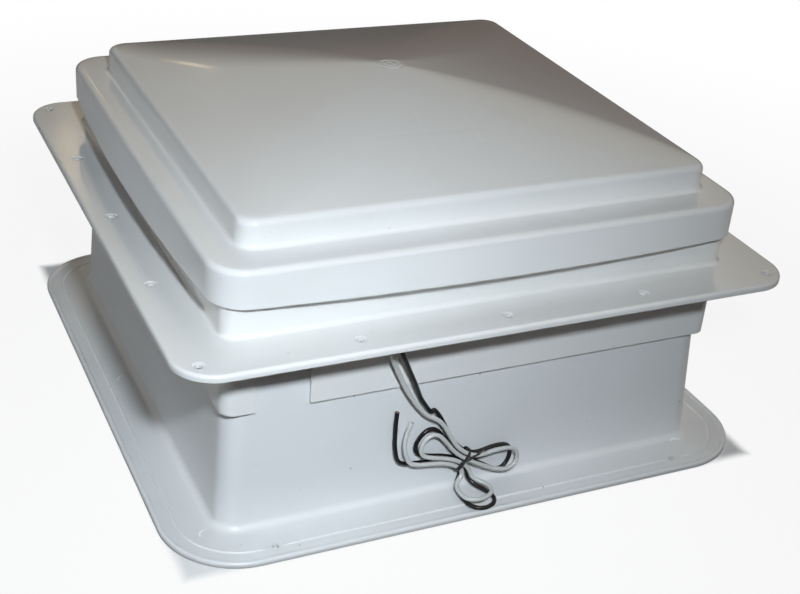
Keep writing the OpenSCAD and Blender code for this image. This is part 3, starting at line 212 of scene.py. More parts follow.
class Effect(Enum):
    """Shader groups that the finishes share: each one's name and inputs."""

    GRAIN = ("moulded_grain", ("Scale", "Depth"))
    DUST = ("settled_dust", ("Amount", "Specks"))
    SCUFFS = ("fine_scuffs", ("Scale", "Amount"))
    WEAR = ("edge_wear", ("Amount",))
    BRUSHING = ("brushed_grain", ("Scale", "Depth"))

    def tree(self) -> bpy.types.NodeTree:
        """The group, built when it is first asked for.

        Returns:
            The group's tree.
        """
        name, labels = self.value
        if name in bpy.data.node_groups:
            return bpy.data.node_groups[name]
        tree = bpy.data.node_groups.new(name, "ShaderNodeTree")
        for label in labels:
            tree.interface.new_socket(label, in_out="INPUT", socket_type="NodeSocketFloat")
        kit = NodeKit(tree)
        build = {
            Effect.GRAIN: self._grain, Effect.DUST: self._dust, Effect.SCUFFS: self._scuffs,
            Effect.WEAR: self._wear, Effect.BRUSHING: self._brushing}[self]
        results = build(kit, kit.node("NodeGroupInput").outputs)
        for label in results:
            tree.interface.new_socket(label, in_out="OUTPUT", socket_type="NodeSocketFloat")
        kit.node("NodeGroupOutput", results)
        return tree

    @staticmethod
    def _grain(kit: NodeKit, given: Any) -> dict[str, Socket]:
        """Moulded grain.

        Args:
            kit: the group's kit.
            given: its inputs.

        Returns:
            A fine height and a broad mottle.
        """
        here = kit.here()
        fine = kit.math("SUBTRACT", kit.noise(here, given["Scale"], 3.0), 0.5)
        height = kit.math("MULTIPLY", fine, given["Depth"])
        return {"Height": height, "Mottle": kit.noise(here, MOTTLE_SCALE, 4.0)}

    @staticmethod
    def _dust(kit: NodeKit, given: Any) -> dict[str, Socket]:
        """Dust that settles on upward faces, and small specks everywhere.

        Args:
            kit: the group's kit.
            given: its inputs.

        Returns:
            The masks of the dust and of the specks.
        """
        here = kit.here()
        cloud = kit.rise(kit.noise(here, CLOUD_SCALE, 6.0), 0.42, 0.78)
        normal = kit.node("ShaderNodeNewGeometry").outputs["Normal"]
        facing_up = kit.node("ShaderNodeSeparateXYZ", {0: normal}).outputs["Z"]
        upward = kit.math("ADD", kit.math("MULTIPLY", facing_up, 0.7, clamp=True), 0.3)
        settled = kit.math("MULTIPLY", kit.math("MULTIPLY", cloud, upward), given["Amount"])
        cells = kit.node("ShaderNodeTexVoronoi", {"Vector": here, "Scale": given["Specks"]}).outputs
        chance = kit.node("ShaderNodeSeparateColor", {0: cells["Color"]}).outputs[0]
        few = kit.math("GREATER_THAN", chance, 1.0 - SPECK_CHANCE)
        specks = kit.math("MULTIPLY", kit.rise(cells["Distance"], 0.11, 0.05), few)
        return {"Mask": settled, "Speck": specks}

    @staticmethod
    def _scuffs(kit: NodeKit, given: Any) -> dict[str, Socket]:
        """Short fine scratches in patches, in two directions.

        Args:
            kit: the group's kit.
            given: its inputs.

        Returns:
            The scratches' mask.
        """
        here = kit.here()
        masks = []
        for turn, stretch in SCUFF_WAYS:
            inputs = {"Vector": here, "Rotation": turn, "Scale": stretch}
            mapped = kit.node("ShaderNodeMapping", inputs).outputs[0]
            level = kit.math("SUBTRACT", kit.noise(mapped, given["Scale"]), 0.5)
            masks.append(kit.rise(kit.math("ABSOLUTE", level), 0.008, 0.002))
        patch = kit.rise(kit.noise(here, PATCH_SCALE), 0.56, 0.72)
        lines = kit.math("MULTIPLY", kit.math("MAXIMUM", *masks), patch)
        return {"Mask": kit.math("MULTIPLY", lines, given["Amount"])}

    @staticmethod
    def _wear(kit: NodeKit, given: Any) -> dict[str, Socket]:
        """Rubbed edges, where the mesh carries an edge value.

        Args:
            kit: the group's kit.
            given: its inputs.

        Returns:
            The rubbed places' mask.
        """
        edge = kit.node("ShaderNodeAttribute", attribute_name="edge").outputs["Fac"]
        broken = kit.rise(kit.noise(kit.here(), RUB_SCALE, 4.0), 0.40, 0.66)
        return {"Mask": kit.math("MULTIPLY", kit.math("MULTIPLY", edge, broken), given["Amount"])}

    @staticmethod
    def _brushing(kit: NodeKit, given: Any) -> dict[str, Socket]:
        """Rolled or brushed grain along one axis.

        Args:
            kit: the group's kit.
            given: its inputs.

        Returns:
            A fine height and the streaks.
        """
        inputs = {"Vector": kit.here(), "Scale": BRUSH_STRETCH}
        streak = kit.noise(kit.node("ShaderNodeMapping", inputs).outputs[0], given["Scale"], 4.0)
        height = kit.math("MULTIPLY", kit.math("SUBTRACT", streak, 0.5), given["Depth"])
        return {"Height": height, "Streak": streak}


def start_material(name: str) -> tuple[Material, NodeKit]:
    """Starts a material.

    Args:
        name: the material's name.
    """
    material = bpy.data.materials.new(name)
    material.use_nodes = True
    material.node_tree.nodes.clear()
    return material, NodeKit(material.node_tree)


@dataclass(frozen=True)
class Mark:
    """A round moulding mark, in millimetres, and the side of it where a lighter crescent is painted as a
    highlight, in degrees.
    """

    x: float
    y: float
    radius: float
    band: float
    glint_side: float | None = None


@dataclass(frozen=True)
class Crease:
    """A soft sunk line in plan: its ends, its half width and its depth, in millimetres."""

    start: Span
    end: Span
    width: float
    depth: float


@dataclass(frozen=True)
class Finish(ABC):
    """What every finish has: its name, its two colours and its roughness."""

    name: str
    colour: Colour
    shade: Colour
    roughness: float

    def material(self) -> Material:
        """Builds the material, or returns it if it exists."""
        return bpy.data.materials.get(self.name) or self._build()

    @abstractmethod
    def _build(self) -> Material:
        """Wires the node tree and gives the material."""


@dataclass(frozen=True)
class Plastic(Finish):
    """A moulded plastic finish, with its grain, dust, scuffs, rubbed edges and painted highlights on its
    moulding marks.
    """

    roughness_span: float = 0.08
    grain_scale: float = 900.0
    grain_depth: float = 0.02
    dust: float = 0.0
    dust_colour: Colour = (0.42, 0.40, 0.37)
    dust_dulls: float = 0.3
    specks: float = 90.0
    speck_strength: float = 0.0
    scuffs: float = 0.0
    scuff_colour: Colour = (0.92, 0.92, 0.92)
    scuff_scale: float = 26.0
    scuff_dulls: float = 0.25
    wear: float = 0.0
    # the colour of the rubbed edges, and also of the painted highlights on the moulding marks
    wear_and_glint_colour: Colour = (0.95, 0.95, 0.95)
    soft_edge: float = 0.0
    coat: float = 0.0
    coat_roughness: float = 0.12
    gloss: float = 0.5
    marks: tuple[Mark, ...] = ()
    mark_depth: float = 0.12
    creases: tuple[Crease, ...] = ()

    def _build(self) -> Material:
        """Wires the node tree.

        Returns:
            The finished material.
        """
        material, kit = start_material(self.name)
        grain = kit.effect(Effect.GRAIN, Scale=self.grain_scale, Depth=self.grain_depth)
        mottle, height = grain["Mottle"], grain["Height"]
        colour = kit.blend(kit.rise(mottle, 0.25, 0.75), self.colour, self.shade)
        smoothest = self.roughness - self.roughness_span / 2
        rough = kit.math("MULTIPLY_ADD", mottle, self.roughness_span, smoothest)
        if self.dust or self.speck_strength:
            dust = kit.effect(Effect.DUST, Amount=self.dust, Specks=self.specks)
            colour = kit.blend(dust["Mask"], colour, self.dust_colour)
            speck = kit.math("MULTIPLY", dust["Speck"], self.speck_strength)
            colour = kit.blend(speck, colour, self.dust_colour)
            rough = kit.math("MULTIPLY_ADD", dust["Mask"], self.dust_dulls, rough, True)
        if self.scuffs:
            scuffs = kit.effect(Effect.SCUFFS, Scale=self.scuff_scale, Amount=self.scuffs)
            colour = kit.blend(scuffs["Mask"], colour, self.scuff_colour)
            rough = kit.math("MULTIPLY_ADD", scuffs["Mask"], self.scuff_dulls, rough, True)
        if self.wear:
            wear = kit.effect(Effect.WEAR, Amount=self.wear)
            colour = kit.blend(wear["Mask"], colour, self.wear_and_glint_colour)
        for mark in self.marks:
            ring, painted_glint = self._mark(kit, mark)
            height = kit.math("MULTIPLY_ADD", ring, -self.mark_depth, height)
            # painted highlight: the mark's crescent on the side toward the light is blended to a lighter
            # colour
            if mark.glint_side is not None:
                colour = kit.blend(painted_glint, colour, self.wear_and_glint_colour)
        for crease in self.creases:
            height = kit.math("SUBTRACT", height, self._crease(kit, crease))
        bumps = {"Height": height, "Distance": MM, "Strength": 1.0}
        if self.soft_edge:
            edge = kit.node("ShaderNodeBevel", {"Radius": self.soft_edge * MM}, samples=4)
            bumps["Normal"] = edge.outputs[0]
        shader = kit.node("ShaderNodeBsdfPrincipled", {
            "Base Color": colour, "Roughness": rough, "Metallic": 0.0, "IOR": 1.5,
            "Specular IOR Level": self.gloss, "Coat Weight": self.coat,
            "Coat Roughness": self.coat_roughness, "Normal": kit.node("ShaderNodeBump", bumps).outputs[0]})
        kit.node("ShaderNodeOutputMaterial", {"Surface": shader.outputs[0]})
        return material

    @staticmethod
    def _flat(kit: NodeKit, x: float, y: float) -> Socket:
        """Where a point lies in plan, in metres, from a place in millimetres."""
        offset = kit.vector("SUBTRACT", kit.here(), (x * MM, y * MM, 0.0))
        return kit.vector("MULTIPLY", offset, (1.0, 1.0, 0.0))

    @classmethod
    def _mark(cls, kit: NodeKit, mark: Mark) -> tuple[Socket, Socket]:
        """A ring-shaped mask round a mark's centre, and the crescent of it where a highlight is painted.

        Args:
            kit: the material's kit.
            mark: where the ring lies.

        Returns:
            The ring's and the painted highlight's sockets.
        """
        flat = cls._flat(kit, mark.x, mark.y)
        off = kit.math("SUBTRACT", kit.vector("LENGTH", flat), mark.radius * MM)
        ring = kit.rise(kit.math("ABSOLUTE", off), mark.band * MM, 0.0)
        turn = math.radians(mark.glint_side or 0.0)
        side = kit.vector("DOT_PRODUCT", flat, (math.cos(turn), math.sin(turn), 0.0))
        # the side of the ring that faces the light, where the highlight is painted
        lit = kit.rise(side, 0.4 * mark.radius * MM, mark.radius * MM)
        return ring, kit.math("MULTIPLY", ring, lit)

    @classmethod
    def _crease(cls, kit: NodeKit, crease: Crease) -> Socket:
        """The depth of a soft line.

        Args:
            kit: the material's kit.
            crease: where it lies.

        Returns:
            The depth's socket, in millimetres.
        """
        run = (Vector(crease.end) - Vector(crease.start)).to_3d() * MM
        flat = cls._flat(kit, *crease.start)
        share = kit.vector("DOT_PRODUCT", flat, tuple(run / run.length_squared))
        inputs = {0: tuple(run), "Scale": kit.math("ADD", share, clamp=True)}
        foot = kit.node("ShaderNodeVectorMath", inputs, operation="SCALE").outputs["Vector"]
        line = kit.rise(kit.vector("DISTANCE", flat, foot), crease.width * MM, 0.0)
        return kit.math("MULTIPLY", line, crease.depth)


@dataclass(frozen=True)
class Metal(Finish):
    """A plated or turned metal finish with a brushed grain."""

    brush_scale: float = 700.0
    brush_depth: float = 0.02
    dulled: float = 0.35
    dull_roughness: float = 0.16
    dull_scale: float = 45.0

    def _build(self) -> Material:
        """Wires the node tree.

        Returns:
            The finished material.
        """
        material, kit = start_material(self.name)
        brushed = kit.effect(Effect.BRUSHING, Scale=self.brush_scale, Depth=self.brush_depth)
        dull = kit.rise(kit.noise(kit.here(), self.dull_scale, 5.0), 0.45, 0.75)
        colour = kit.blend(brushed["Streak"], self.colour, self.shade)
        bumps = {"Height": brushed["Height"], "Distance": MM, "Strength": 0.6}
        shader = kit.node("ShaderNodeBsdfPrincipled", {
            "Base Color": kit.blend(kit.math("MULTIPLY", dull, self.dulled), colour, self.shade),
            "Roughness": kit.math("MULTIPLY_ADD", dull, self.dull_roughness, self.roughness),
            "Metallic": 1.0, "Normal": kit.node("ShaderNodeBump", bumps).outputs[0]})
        kit.node("ShaderNodeOutputMaterial", {"Surface": shader.outputs[0]})
        return material


class Finishes:
    """Every finish of the vent."""

    LID = Plastic(
        "lid_gloss_white", (0.79, 0.79, 0.785), (0.765, 0.762, 0.755), 0.10, 0.06, 1300.0, 0.008,
        dust=0.05, speck_strength=0.2, scuffs=0.08, wear=0.04, marks=(Mark(0.0, 0.0, 6.2, 0.9),),
        creases=(
            Crease((-45, -88), (35, -90), 3.2, 0.1), Crease((-12, -68), (-17, -110), 3.0, 0.1),
            Crease((22, -68), (19, -111), 3.0, 0.1)))
    BASE = Plastic(
        "base_warm_white", (0.78, 0.775, 0.765), (0.75, 0.745, 0.73), 0.12, 0.06, 1100.0, 0.010,
        dust=0.05, speck_strength=0.3, scuffs=0.08, soft_edge=0.7)
    GARNISH = Plastic(
        "garnish_satin_white", (0.72, 0.725, 0.73), (0.69, 0.695, 0.70), 0.36, 0.10, 700.0, 0.02,
        dust=0.07, dust_colour=(0.3, 0.29, 0.27), speck_strength=0.7, scuffs=0.2, wear=0.05, marks=(
            # each mark carries a painted highlight, a lighter crescent on the side toward the light
            Mark(-184, -175.5, 5.0, 1.1, 140), Mark(-188, 14, 4.5, 1.0, 150),
            Mark(163, -186, 5.5, 1.1, 75), Mark(-182, 193, 5.0, 1.1, -40)))
    INNER = Plastic(
        "inner_white_moulding", (0.66, 0.66, 0.64), (0.62, 0.615, 0.59), 0.38, 0.12, 800.0, 0.025,
        dust=0.16, scuffs=0.2, soft_edge=0.5)
    NYLON = Plastic(
        "natural_nylon", (0.62, 0.60, 0.53), (0.57, 0.55, 0.47), 0.45, 0.12, 600.0, 0.03, soft_edge=0.25)
    SEAL = Plastic(
        "foam_seal", (0.035, 0.035, 0.036), (0.022, 0.022, 0.023), 0.85, 0.1, 420.0, 0.25, dust=0.2)
    BLACK = Plastic(
        "black_moulding", (0.022, 0.022, 0.024), (0.030, 0.030, 0.031), 0.48, 0.14, 650.0, 0.03,
        dust=0.3, scuffs=0.2, scuff_colour=(0.12, 0.12, 0.12), soft_edge=0.3)
    NET = Plastic(
        "screen_net", (0.20, 0.205, 0.21), (0.15, 0.155, 0.16), 0.6, 0.1, 500.0, 0.02, dust=0.25)
    WHITE_LEAD = Plastic(
        "white_insulation", (0.60, 0.61, 0.59), (0.52, 0.53, 0.52), 0.28, 0.1, 520.0, 0.03,
        dust=0.15, dust_colour=(0.25, 0.24, 0.22), coat=0.3)
    BLACK_LEAD = Plastic(
        "black_insulation", (0.006, 0.006, 0.007), (0.010, 0.010, 0.011), 0.2, 0.1, 520.0, 0.03,
        dust=0.03, gloss=0.3)
    TIE = Plastic("black_wire_tie", (0.012, 0.012, 0.012), (0.02, 0.02, 0.02), 0.4, 0.1, 800.0, 0.04)
    ZINC = Metal("zinc_sheet", (0.60, 0.61, 0.62), (0.50, 0.51, 0.53), 0.34)
    STEEL = Metal("plated_steel", (0.66, 0.66, 0.67), (0.56, 0.56, 0.57), 0.24, 1100.0, 0.01)
    BRASS = Metal("turned_brass", (0.68, 0.50, 0.22), (0.58, 0.41, 0.17), 0.28)
    COPPER = Metal("bare_copper", (0.72, 0.40, 0.24), (0.60, 0.32, 0.19), 0.3, 1500.0, 0.01)


def into_scene(name: str, mesh: bpy.types.Mesh) -> Piece:
    """Links a mesh into the scene.

    Args:
        name: the piece's name.
        mesh: its mesh.

    Returns:
        The new object.
    """
    made = bpy.data.objects.new(name, mesh)
    bpy.context.scene.collection.objects.link(made)
    return made


def moulded(name: str, work: BMesh, finish: Material) -> Piece:
    """Turns a bmesh into a smooth-shaded object in the scene.

    Args:
        name: the object's name.
        work: the bmesh, which is freed.
        finish: its material.

    Returns:
        The new object.
    """
    mesh = bpy.data.meshes.new(name)
    work.to_mesh(mesh)
    work.free()
    mesh.materials.append(finish)
    mesh.polygons.foreach_set("use_smooth", [True] * len(mesh.polygons))
    return into_scene(name, mesh)


def plain(piece: Piece) -> Piece:
    """Applies a piece's modifiers, so that it is a plain mesh.

    Args:
        piece: the object.

    Returns:
        The same object, with no modifiers left.
    """
    graph = bpy.context.evaluated_depsgraph_get()
    mesh = bpy.data.meshes.new_from_object(piece.evaluated_get(graph))
    piece.modifiers.clear()
    old, name = piece.data, piece.data.name
    piece.data = mesh
    bpy.data.meshes.remove(old)
    mesh.name = name
    return piece


def cut_away(piece: Piece, cutter: Piece, crossing: bool = False) -> None:
    """Cuts one object out of another, and removes it.

    Args:
        piece: what is cut.
        cutter: what is cut out of it.
        crossing: whether the cutter runs through itself.
    """
    cut = piece.modifiers.new("cut", "BOOLEAN")
    cut.operation, cut.object, cut.solver, cut.use_self = "DIFFERENCE", cutter, "EXACT", crossing
    plain(piece)
    bpy.data.objects.remove(cutter)


def sharp_by_angle(piece: Piece, degrees: float) -> None:
    """Stops the smooth shading at edges sharper than an angle."""
    piece.data.set_sharp_from_angle(angle=math.radians(degrees))


def finished(piece: Piece, body: Body, slot: str, *nodes: str) -> Piece:
    """Hands a piece to its body.

    Args:
        piece: the object.
        body: what it rides on.
        slot: the record's material slot, which is not used.
        nodes: the CAD nodes that it stands for.

    Returns:
        The same object.
    """
    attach(piece, body.value)
    if nodes:
        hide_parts(*nodes)
    LOG.info("%s rides on %s, %d faces", piece.name, body.value, len(piece.data.polygons))
    return piece


def both(size: float) -> Span:
    """A size to the one side of the middle and to the other."""
    return -size, size


def skin(work: BMesh, rows: Sequence[Sequence[Any]], closed: bool = False) -> None:
    """Joins neighbouring rings of points with faces.

    Args:
        work: the bmesh that holds the points.
        rows: the rings, of which one may be a single point.
        closed: whether the last ring joins the first.
    """
    pairs = list(zip(rows, rows[1:])) + ([(rows[-1], rows[0])] if closed else [])
    for low, high in pairs:
        n = max(len(low), len(high))
        for k in range(n):
            m = (k + 1) % n
            corners = (low[k % len(low)], low[m % len(low)], high[m % len(high)], high[k % len(high)])
            work.faces.new(list(dict.fromkeys(corners)))


def cap(work: BMesh, rows: Sequence[Sequence[Any]]) -> None:
    """Closes both ends of a tube of rings."""
    work.faces.new(list(reversed(rows[0])))
    work.faces.new(rows[-1])


@dataclass(frozen=True)
class RingShape:
    """How many points a rounded-square ring has at each corner and along each side."""

    arc: int
    side: int

    def points(self, half: float, radius: float, z: float, bow: float = 0.0) -> list[Vector]:
        """A rounded square whose front and sides may bow out and whose back stays straight.

        Args:
            half: half its width, in millimetres.
            radius: its corner radius.
            z: its height.
            bow: how far the front and the sides stand out at their middles.

        Returns:
            The ring's points, in metres.
        """
        ring = []
        straight = half - radius
        for k in range(4):
            middle = math.radians(45 + 90 * k)
            for j in range(self.arc + 1):
                a = math.radians(90 * k + 90 * j / self.arc)
                ring.append(Vector((
                    math.sqrt(2) * straight * math.cos(middle) + radius * math.cos(a),
                    math.sqrt(2) * straight * math.sin(middle) + radius * math.sin(a), z)) * MM)
            a = math.radians(90 * (k + 1))
            for i in range(1, self.side + 1):
                s = 2 * i / (self.side + 1) - 1
                out = half + (0.0 if k == 0 else bow) * (1 - s * s)
                ring.append(Vector((
                    out * math.cos(a) - s * straight * math.sin(a),
                    out * math.sin(a) + s * straight * math.cos(a), z)) * MM)
        return ring


@dataclass(frozen=True)
class Section:
    """One ring of a lofted moulding, in millimetres, with its edge value and its stretch across."""

    half: float
    radius: float
    z: float
    bow: float = 0.0
    edge: float = 0.0
    wide: float = 1.0
    shift: float = 0.0


def loft(shape: RingShape, sections: Sequence[Section]) -> BMesh:
    """Skins a loop of rings, bottom to top on the outside and down again inside.

    Args:
        shape: the rings' points.
        sections: the rings.

    Returns:
        The skin, with an edge value on each point.
    """
    work = bmesh.new()
    edge = work.verts.layers.float.new("edge")
    rows = []
    for section in sections:
        ring = shape.points(section.half, section.radius, section.z, section.bow)
        rows.append([work.verts.new(p) for p in ring])
        for point in rows[-1]:
            point.co.x = point.co.x * section.wide + section.shift * MM
            point[edge] = section.edge
    skin(work, rows, True)
    return work


def rounded(radius: float, steps: int, share: float = 1.0, first: int = 0) -> list[Point]:
    """Rings of a quarter-round edge, from the wall that it leaves to the face that it meets.

    Args:
        radius: the edge's radius.
        steps: rings after the one on the wall.
        share: share of the quarter turn that it takes.
        first: the first ring that is given.

    Returns:
        How far each ring lies inside the wall and below the face, and its edge value.
    """
    rings = []
    for i in range(first, steps + 1):
        a = math.pi / 2 * i / steps
        b = a * share
        rings.append((radius * (1 - math.cos(b)), radius * (1 - math.sin(b)), math.sin(2 * a)))
    return rings


class Placing:
    """Geometry Nodes trees that repeat a shape, each built once."""

    @staticmethod
    def _start(name: str, inputs: dict[str, str]) -> tuple[NodeKit, Any]:
        """Starts a tree.

        Args:
            name: the tree's name.
            inputs: kind of each named input.
        """
        tree = bpy.data.node_groups.new(name, "GeometryNodeTree")
        for label, kind in inputs.items():
            tree.interface.new_socket(label, in_out="INPUT", socket_type="NodeSocket" + kind)
        tree.interface.new_socket("Geometry", in_out="OUTPUT", socket_type="NodeSocketGeometry")
        kit = NodeKit(tree)
        return kit, kit.node("NodeGroupInput").outputs

    @staticmethod
    def _end(kit: NodeKit, geometry: Socket, finish: Socket) -> bpy.types.NodeTree:
        """Realizes what was placed and sets its material.

        Args:
            kit: the tree's kit.
            geometry: the instances.
            finish: the material.

        Returns:
            The finished tree.
        """
        real = kit.node("GeometryNodeRealizeInstances", {"Geometry": geometry})
        dressed = kit.node("GeometryNodeSetMaterial", {"Geometry": real.outputs[0], "Material": finish})
        kit.node("NodeGroupOutput", {"Geometry": dressed.outputs[0]})
        return kit.tree

    @classmethod
    def scatter(cls) -> bpy.types.NodeTree:
        """Puts one shape at each point, turned by the point's turn value.

        Returns:
            The tree.
        """
        if "placed_shapes" in bpy.data.node_groups:
            return bpy.data.node_groups["placed_shapes"]
        kit, given = cls._start("placed_shapes", {
            "Geometry": "Geometry", "Shape": "Object", "Size": "Float", "Finish": "Material"})
        shape = kit.node("GeometryNodeObjectInfo", {"Object": given["Shape"]})
        turn = kit.node("GeometryNodeInputNamedAttribute", {"Name": "turn"}, data_type="FLOAT_VECTOR")
        rotation = kit.node("FunctionNodeEulerToRotation", {0: turn.outputs[0]})
        placed = kit.node("GeometryNodeInstanceOnPoints", {
            "Points": given["Geometry"], "Instance": shape.outputs["Geometry"],
            "Rotation": rotation.outputs[0], "Scale": given["Size"]})
        return cls._end(kit, placed.outputs[0], given["Finish"])

    @classmethod
    def net(cls) -> bpy.types.NodeTree:
        """A flat net of square wires over a rectangle, one layer each way.

        Returns:
            The tree.
        """
        if "wire_net" in bpy.data.node_groups:
            return bpy.data.node_groups["wire_net"]
        kit, given = cls._start("wire_net", {
            "Geometry": "Geometry", "Width": "Float", "Length": "Float", "Pitch": "Float",
            "Wire": "Float", "Thickness": "Float", "Middle": "Vector", "Finish": "Material"})
        pitch, wire, thick = given["Pitch"], given["Wire"], given["Thickness"]
        joined = kit.node("GeometryNodeJoinGeometry")
        for along, axis, level in (("X", "Y", -0.3), ("Y", "X", 0.3)):
            run, across = (given[k] for k in (("Width", "Length") if along == "X" else ("Length", "Width")))
            count = kit.math("FLOOR", kit.math("DIVIDE", across, pitch))
            start = kit.math("MULTIPLY", kit.math("MULTIPLY", count, pitch), -0.5)
            first = kit.node("ShaderNodeCombineXYZ", {axis: start, "Z": kit.math("MULTIPLY", thick, level)})
            line = kit.node("GeometryNodeMeshLine", {
                "Count": kit.math("ADD", count, 1.0), "Start Location": first.outputs[0],
                "Offset": kit.node("ShaderNodeCombineXYZ", {axis: pitch}).outputs[0]})
            size = kit.node("ShaderNodeCombineXYZ", {along: run, axis: wire, "Z": thick})
            bar = kit.node("GeometryNodeMeshCube", {"Size": size.outputs[0]})
            placed = kit.node("GeometryNodeInstanceOnPoints", {
                "Points": line.outputs[0], "Instance": bar.outputs[0]})
            kit.tree.links.new(placed.outputs[0], joined.inputs[0])
        moved = kit.node("GeometryNodeTransform", {
            "Geometry": joined.outputs[0], "Translation": given["Middle"]})
        return cls._end(kit, moved.outputs[0], given["Finish"])

    @staticmethod
    def apply(piece: Piece, tree: bpy.types.NodeTree, values: dict[str, Any]) -> Piece:
        """Runs a tree on a piece and keeps the result as a plain mesh.

        Args:
            piece: the object that carries the points.
            tree: the tree.
            values: the value of each named input.

        Returns:
            The same object.
        """
        modifier = piece.modifiers.new("places", "NODES")
        modifier.node_group = tree
        for item in tree.interface.items_tree:
            if item.in_out == "INPUT" and item.name in values:
                modifier[item.identifier] = values[item.name]
        return plain(piece)


def scattered(name: str, shape: Piece, places: Iterable[tuple[Point, Euler]], finish: Material) -> Piece:
    """Repeats a shape at several places.

    Args:
        name: the piece's name.
        shape: the shape, made round the origin, which is removed.
        places: position in millimetres and turn of each copy.
        finish: the material of all copies.

    Returns:
        One object with all the copies.
    """
    spots = list(places)
    points = bpy.data.meshes.new(name)
    points.from_pydata([Vector(p) * MM for p, _ in spots], [], [])
    turns = points.attributes.new("turn", "FLOAT_VECTOR", "POINT")
    turns.data.foreach_set("vector", [v for _, turn in spots for v in turn])
    piece = into_scene(name, points)
    Placing.apply(piece, Placing.scatter(), {"Shape": shape, "Size": 1.0, "Finish": finish})
    bpy.data.objects.remove(shape)
    left = piece.data.attributes.get("turn")
    if left:
        piece.data.attributes.remove(left)
    return piece


def revolved(profile: Sequence[Span], steps: int) -> BMesh:
    """Turns a profile round Z.

    Args:
        profile: radius and height of each point, in millimetres.
        steps: points round each ring.

    Returns:
        The shape.
    """
    work = bmesh.new()
    rows = []
    for radius, z in profile:
        turns = [2 * math.pi * i / steps for i in range(steps)] if radius else [0.0]
        ring = [Vector((radius * math.cos(a), radius * math.sin(a), z)) * MM for a in turns]
        rows.append([work.verts.new(p) for p in ring])
    skin(work, rows)
    bmesh.ops.recalc_face_normals(work, faces=work.faces)
    return work


def through(points: Sequence[Vector], steps: int) -> list[Vector]:
    """A smooth line through points.

    Args:
        points: what it passes through.
        steps: points made for each span.

    Returns:
        The denser line.
    """
    line = []
    for i in range(len(points) - 1):
        p0, p1 = points[max(i - 1, 0)], points[i]
        p2, p3 = points[i + 1], points[min(i + 2, len(points) - 1)]
        for k in range(steps):
            t = k / steps
            line.append(0.5 * (
                2 * p1 + (p2 - p0) * t + (2 * p0 - 5 * p1 + 4 * p2 - p3) * t * t
                + (3 * p1 - p0 - 3 * p2 + p3) * t ** 3))
    return line + [points[-1]]


def relaxed(points: Sequence[Vector], rounds: int) -> list[Vector]:
    """Eases small kinks out of a line, with its ends kept.

    Args:
        points: the line.
        rounds: how often it is eased.

    Returns:
        The eased line.
    """
    line = [p.copy() for p in points]
    for _ in range(rounds):
        inner = [(a + 2 * b + c) / 4 for a, b, c in zip(line, line[1:], line[2:])]
        line = [line[0], line[1], *inner[1:], line[-1]]
    return line


def sweep(work: BMesh, path: Sequence[Vector], radius: float, sides: int) -> list[list[Any]]:
    """Skins a round tube along a path, without twist and with open ends.

    Args:
        work: the bmesh that it goes into.
        path: the centre line.
        radius: the tube's radius.
        sides: points round it.

    Returns:
        Its rings of points.
    """
    last = len(path) - 1
    tangents = [(path[min(i + 1, last)] - path[max(i - 1, 0)]).normalized() for i in range(last + 1)]
    turns = [2 * math.pi * k / sides for k in range(sides)]
    normal = tangents[0].orthogonal().normalized()
    rows = []
    for point, tangent in zip(path, tangents):
        normal = (normal - normal.dot(tangent) * tangent).normalized()
        side = tangent.cross(normal)
        ring = [point + radius * (math.cos(a) * normal + math.sin(a) * side) for a in turns]
        rows.append([work.verts.new(p) for p in ring])
    skin(work, rows)
    return rows


@dataclass(frozen=True)
class Lamp:
    """One soft lamp, in metres and watts: gloss may mirror it, and tall is its height by its width."""

    name: str
    at: Point
    to: Point
    size: float
    watts: float
    colour: Colour
    beam: float = 180.0
    mirrored: bool = False
    tall: float = 1.0

    def hang(self) -> None:
        """Adds the lamp to the scene, turned to its target."""
        data = bpy.data.lights.new(self.name, "AREA")
        data.shape, data.size, data.size_y = "RECTANGLE", self.size, self.size * self.tall
        data.energy, data.color = self.watts, self.colour
        data.spread = math.radians(self.beam)
        lamp = bpy.data.objects.new(self.name, data)
        lamp.location = self.at
        lamp.rotation_mode = "QUATERNION"
        lamp.rotation_quaternion = (Vector(self.to) - Vector(self.at)).to_track_quat("-Z", "Y")
        lamp.visible_glossy = self.mirrored
        bpy.context.scene.collection.objects.link(lamp)


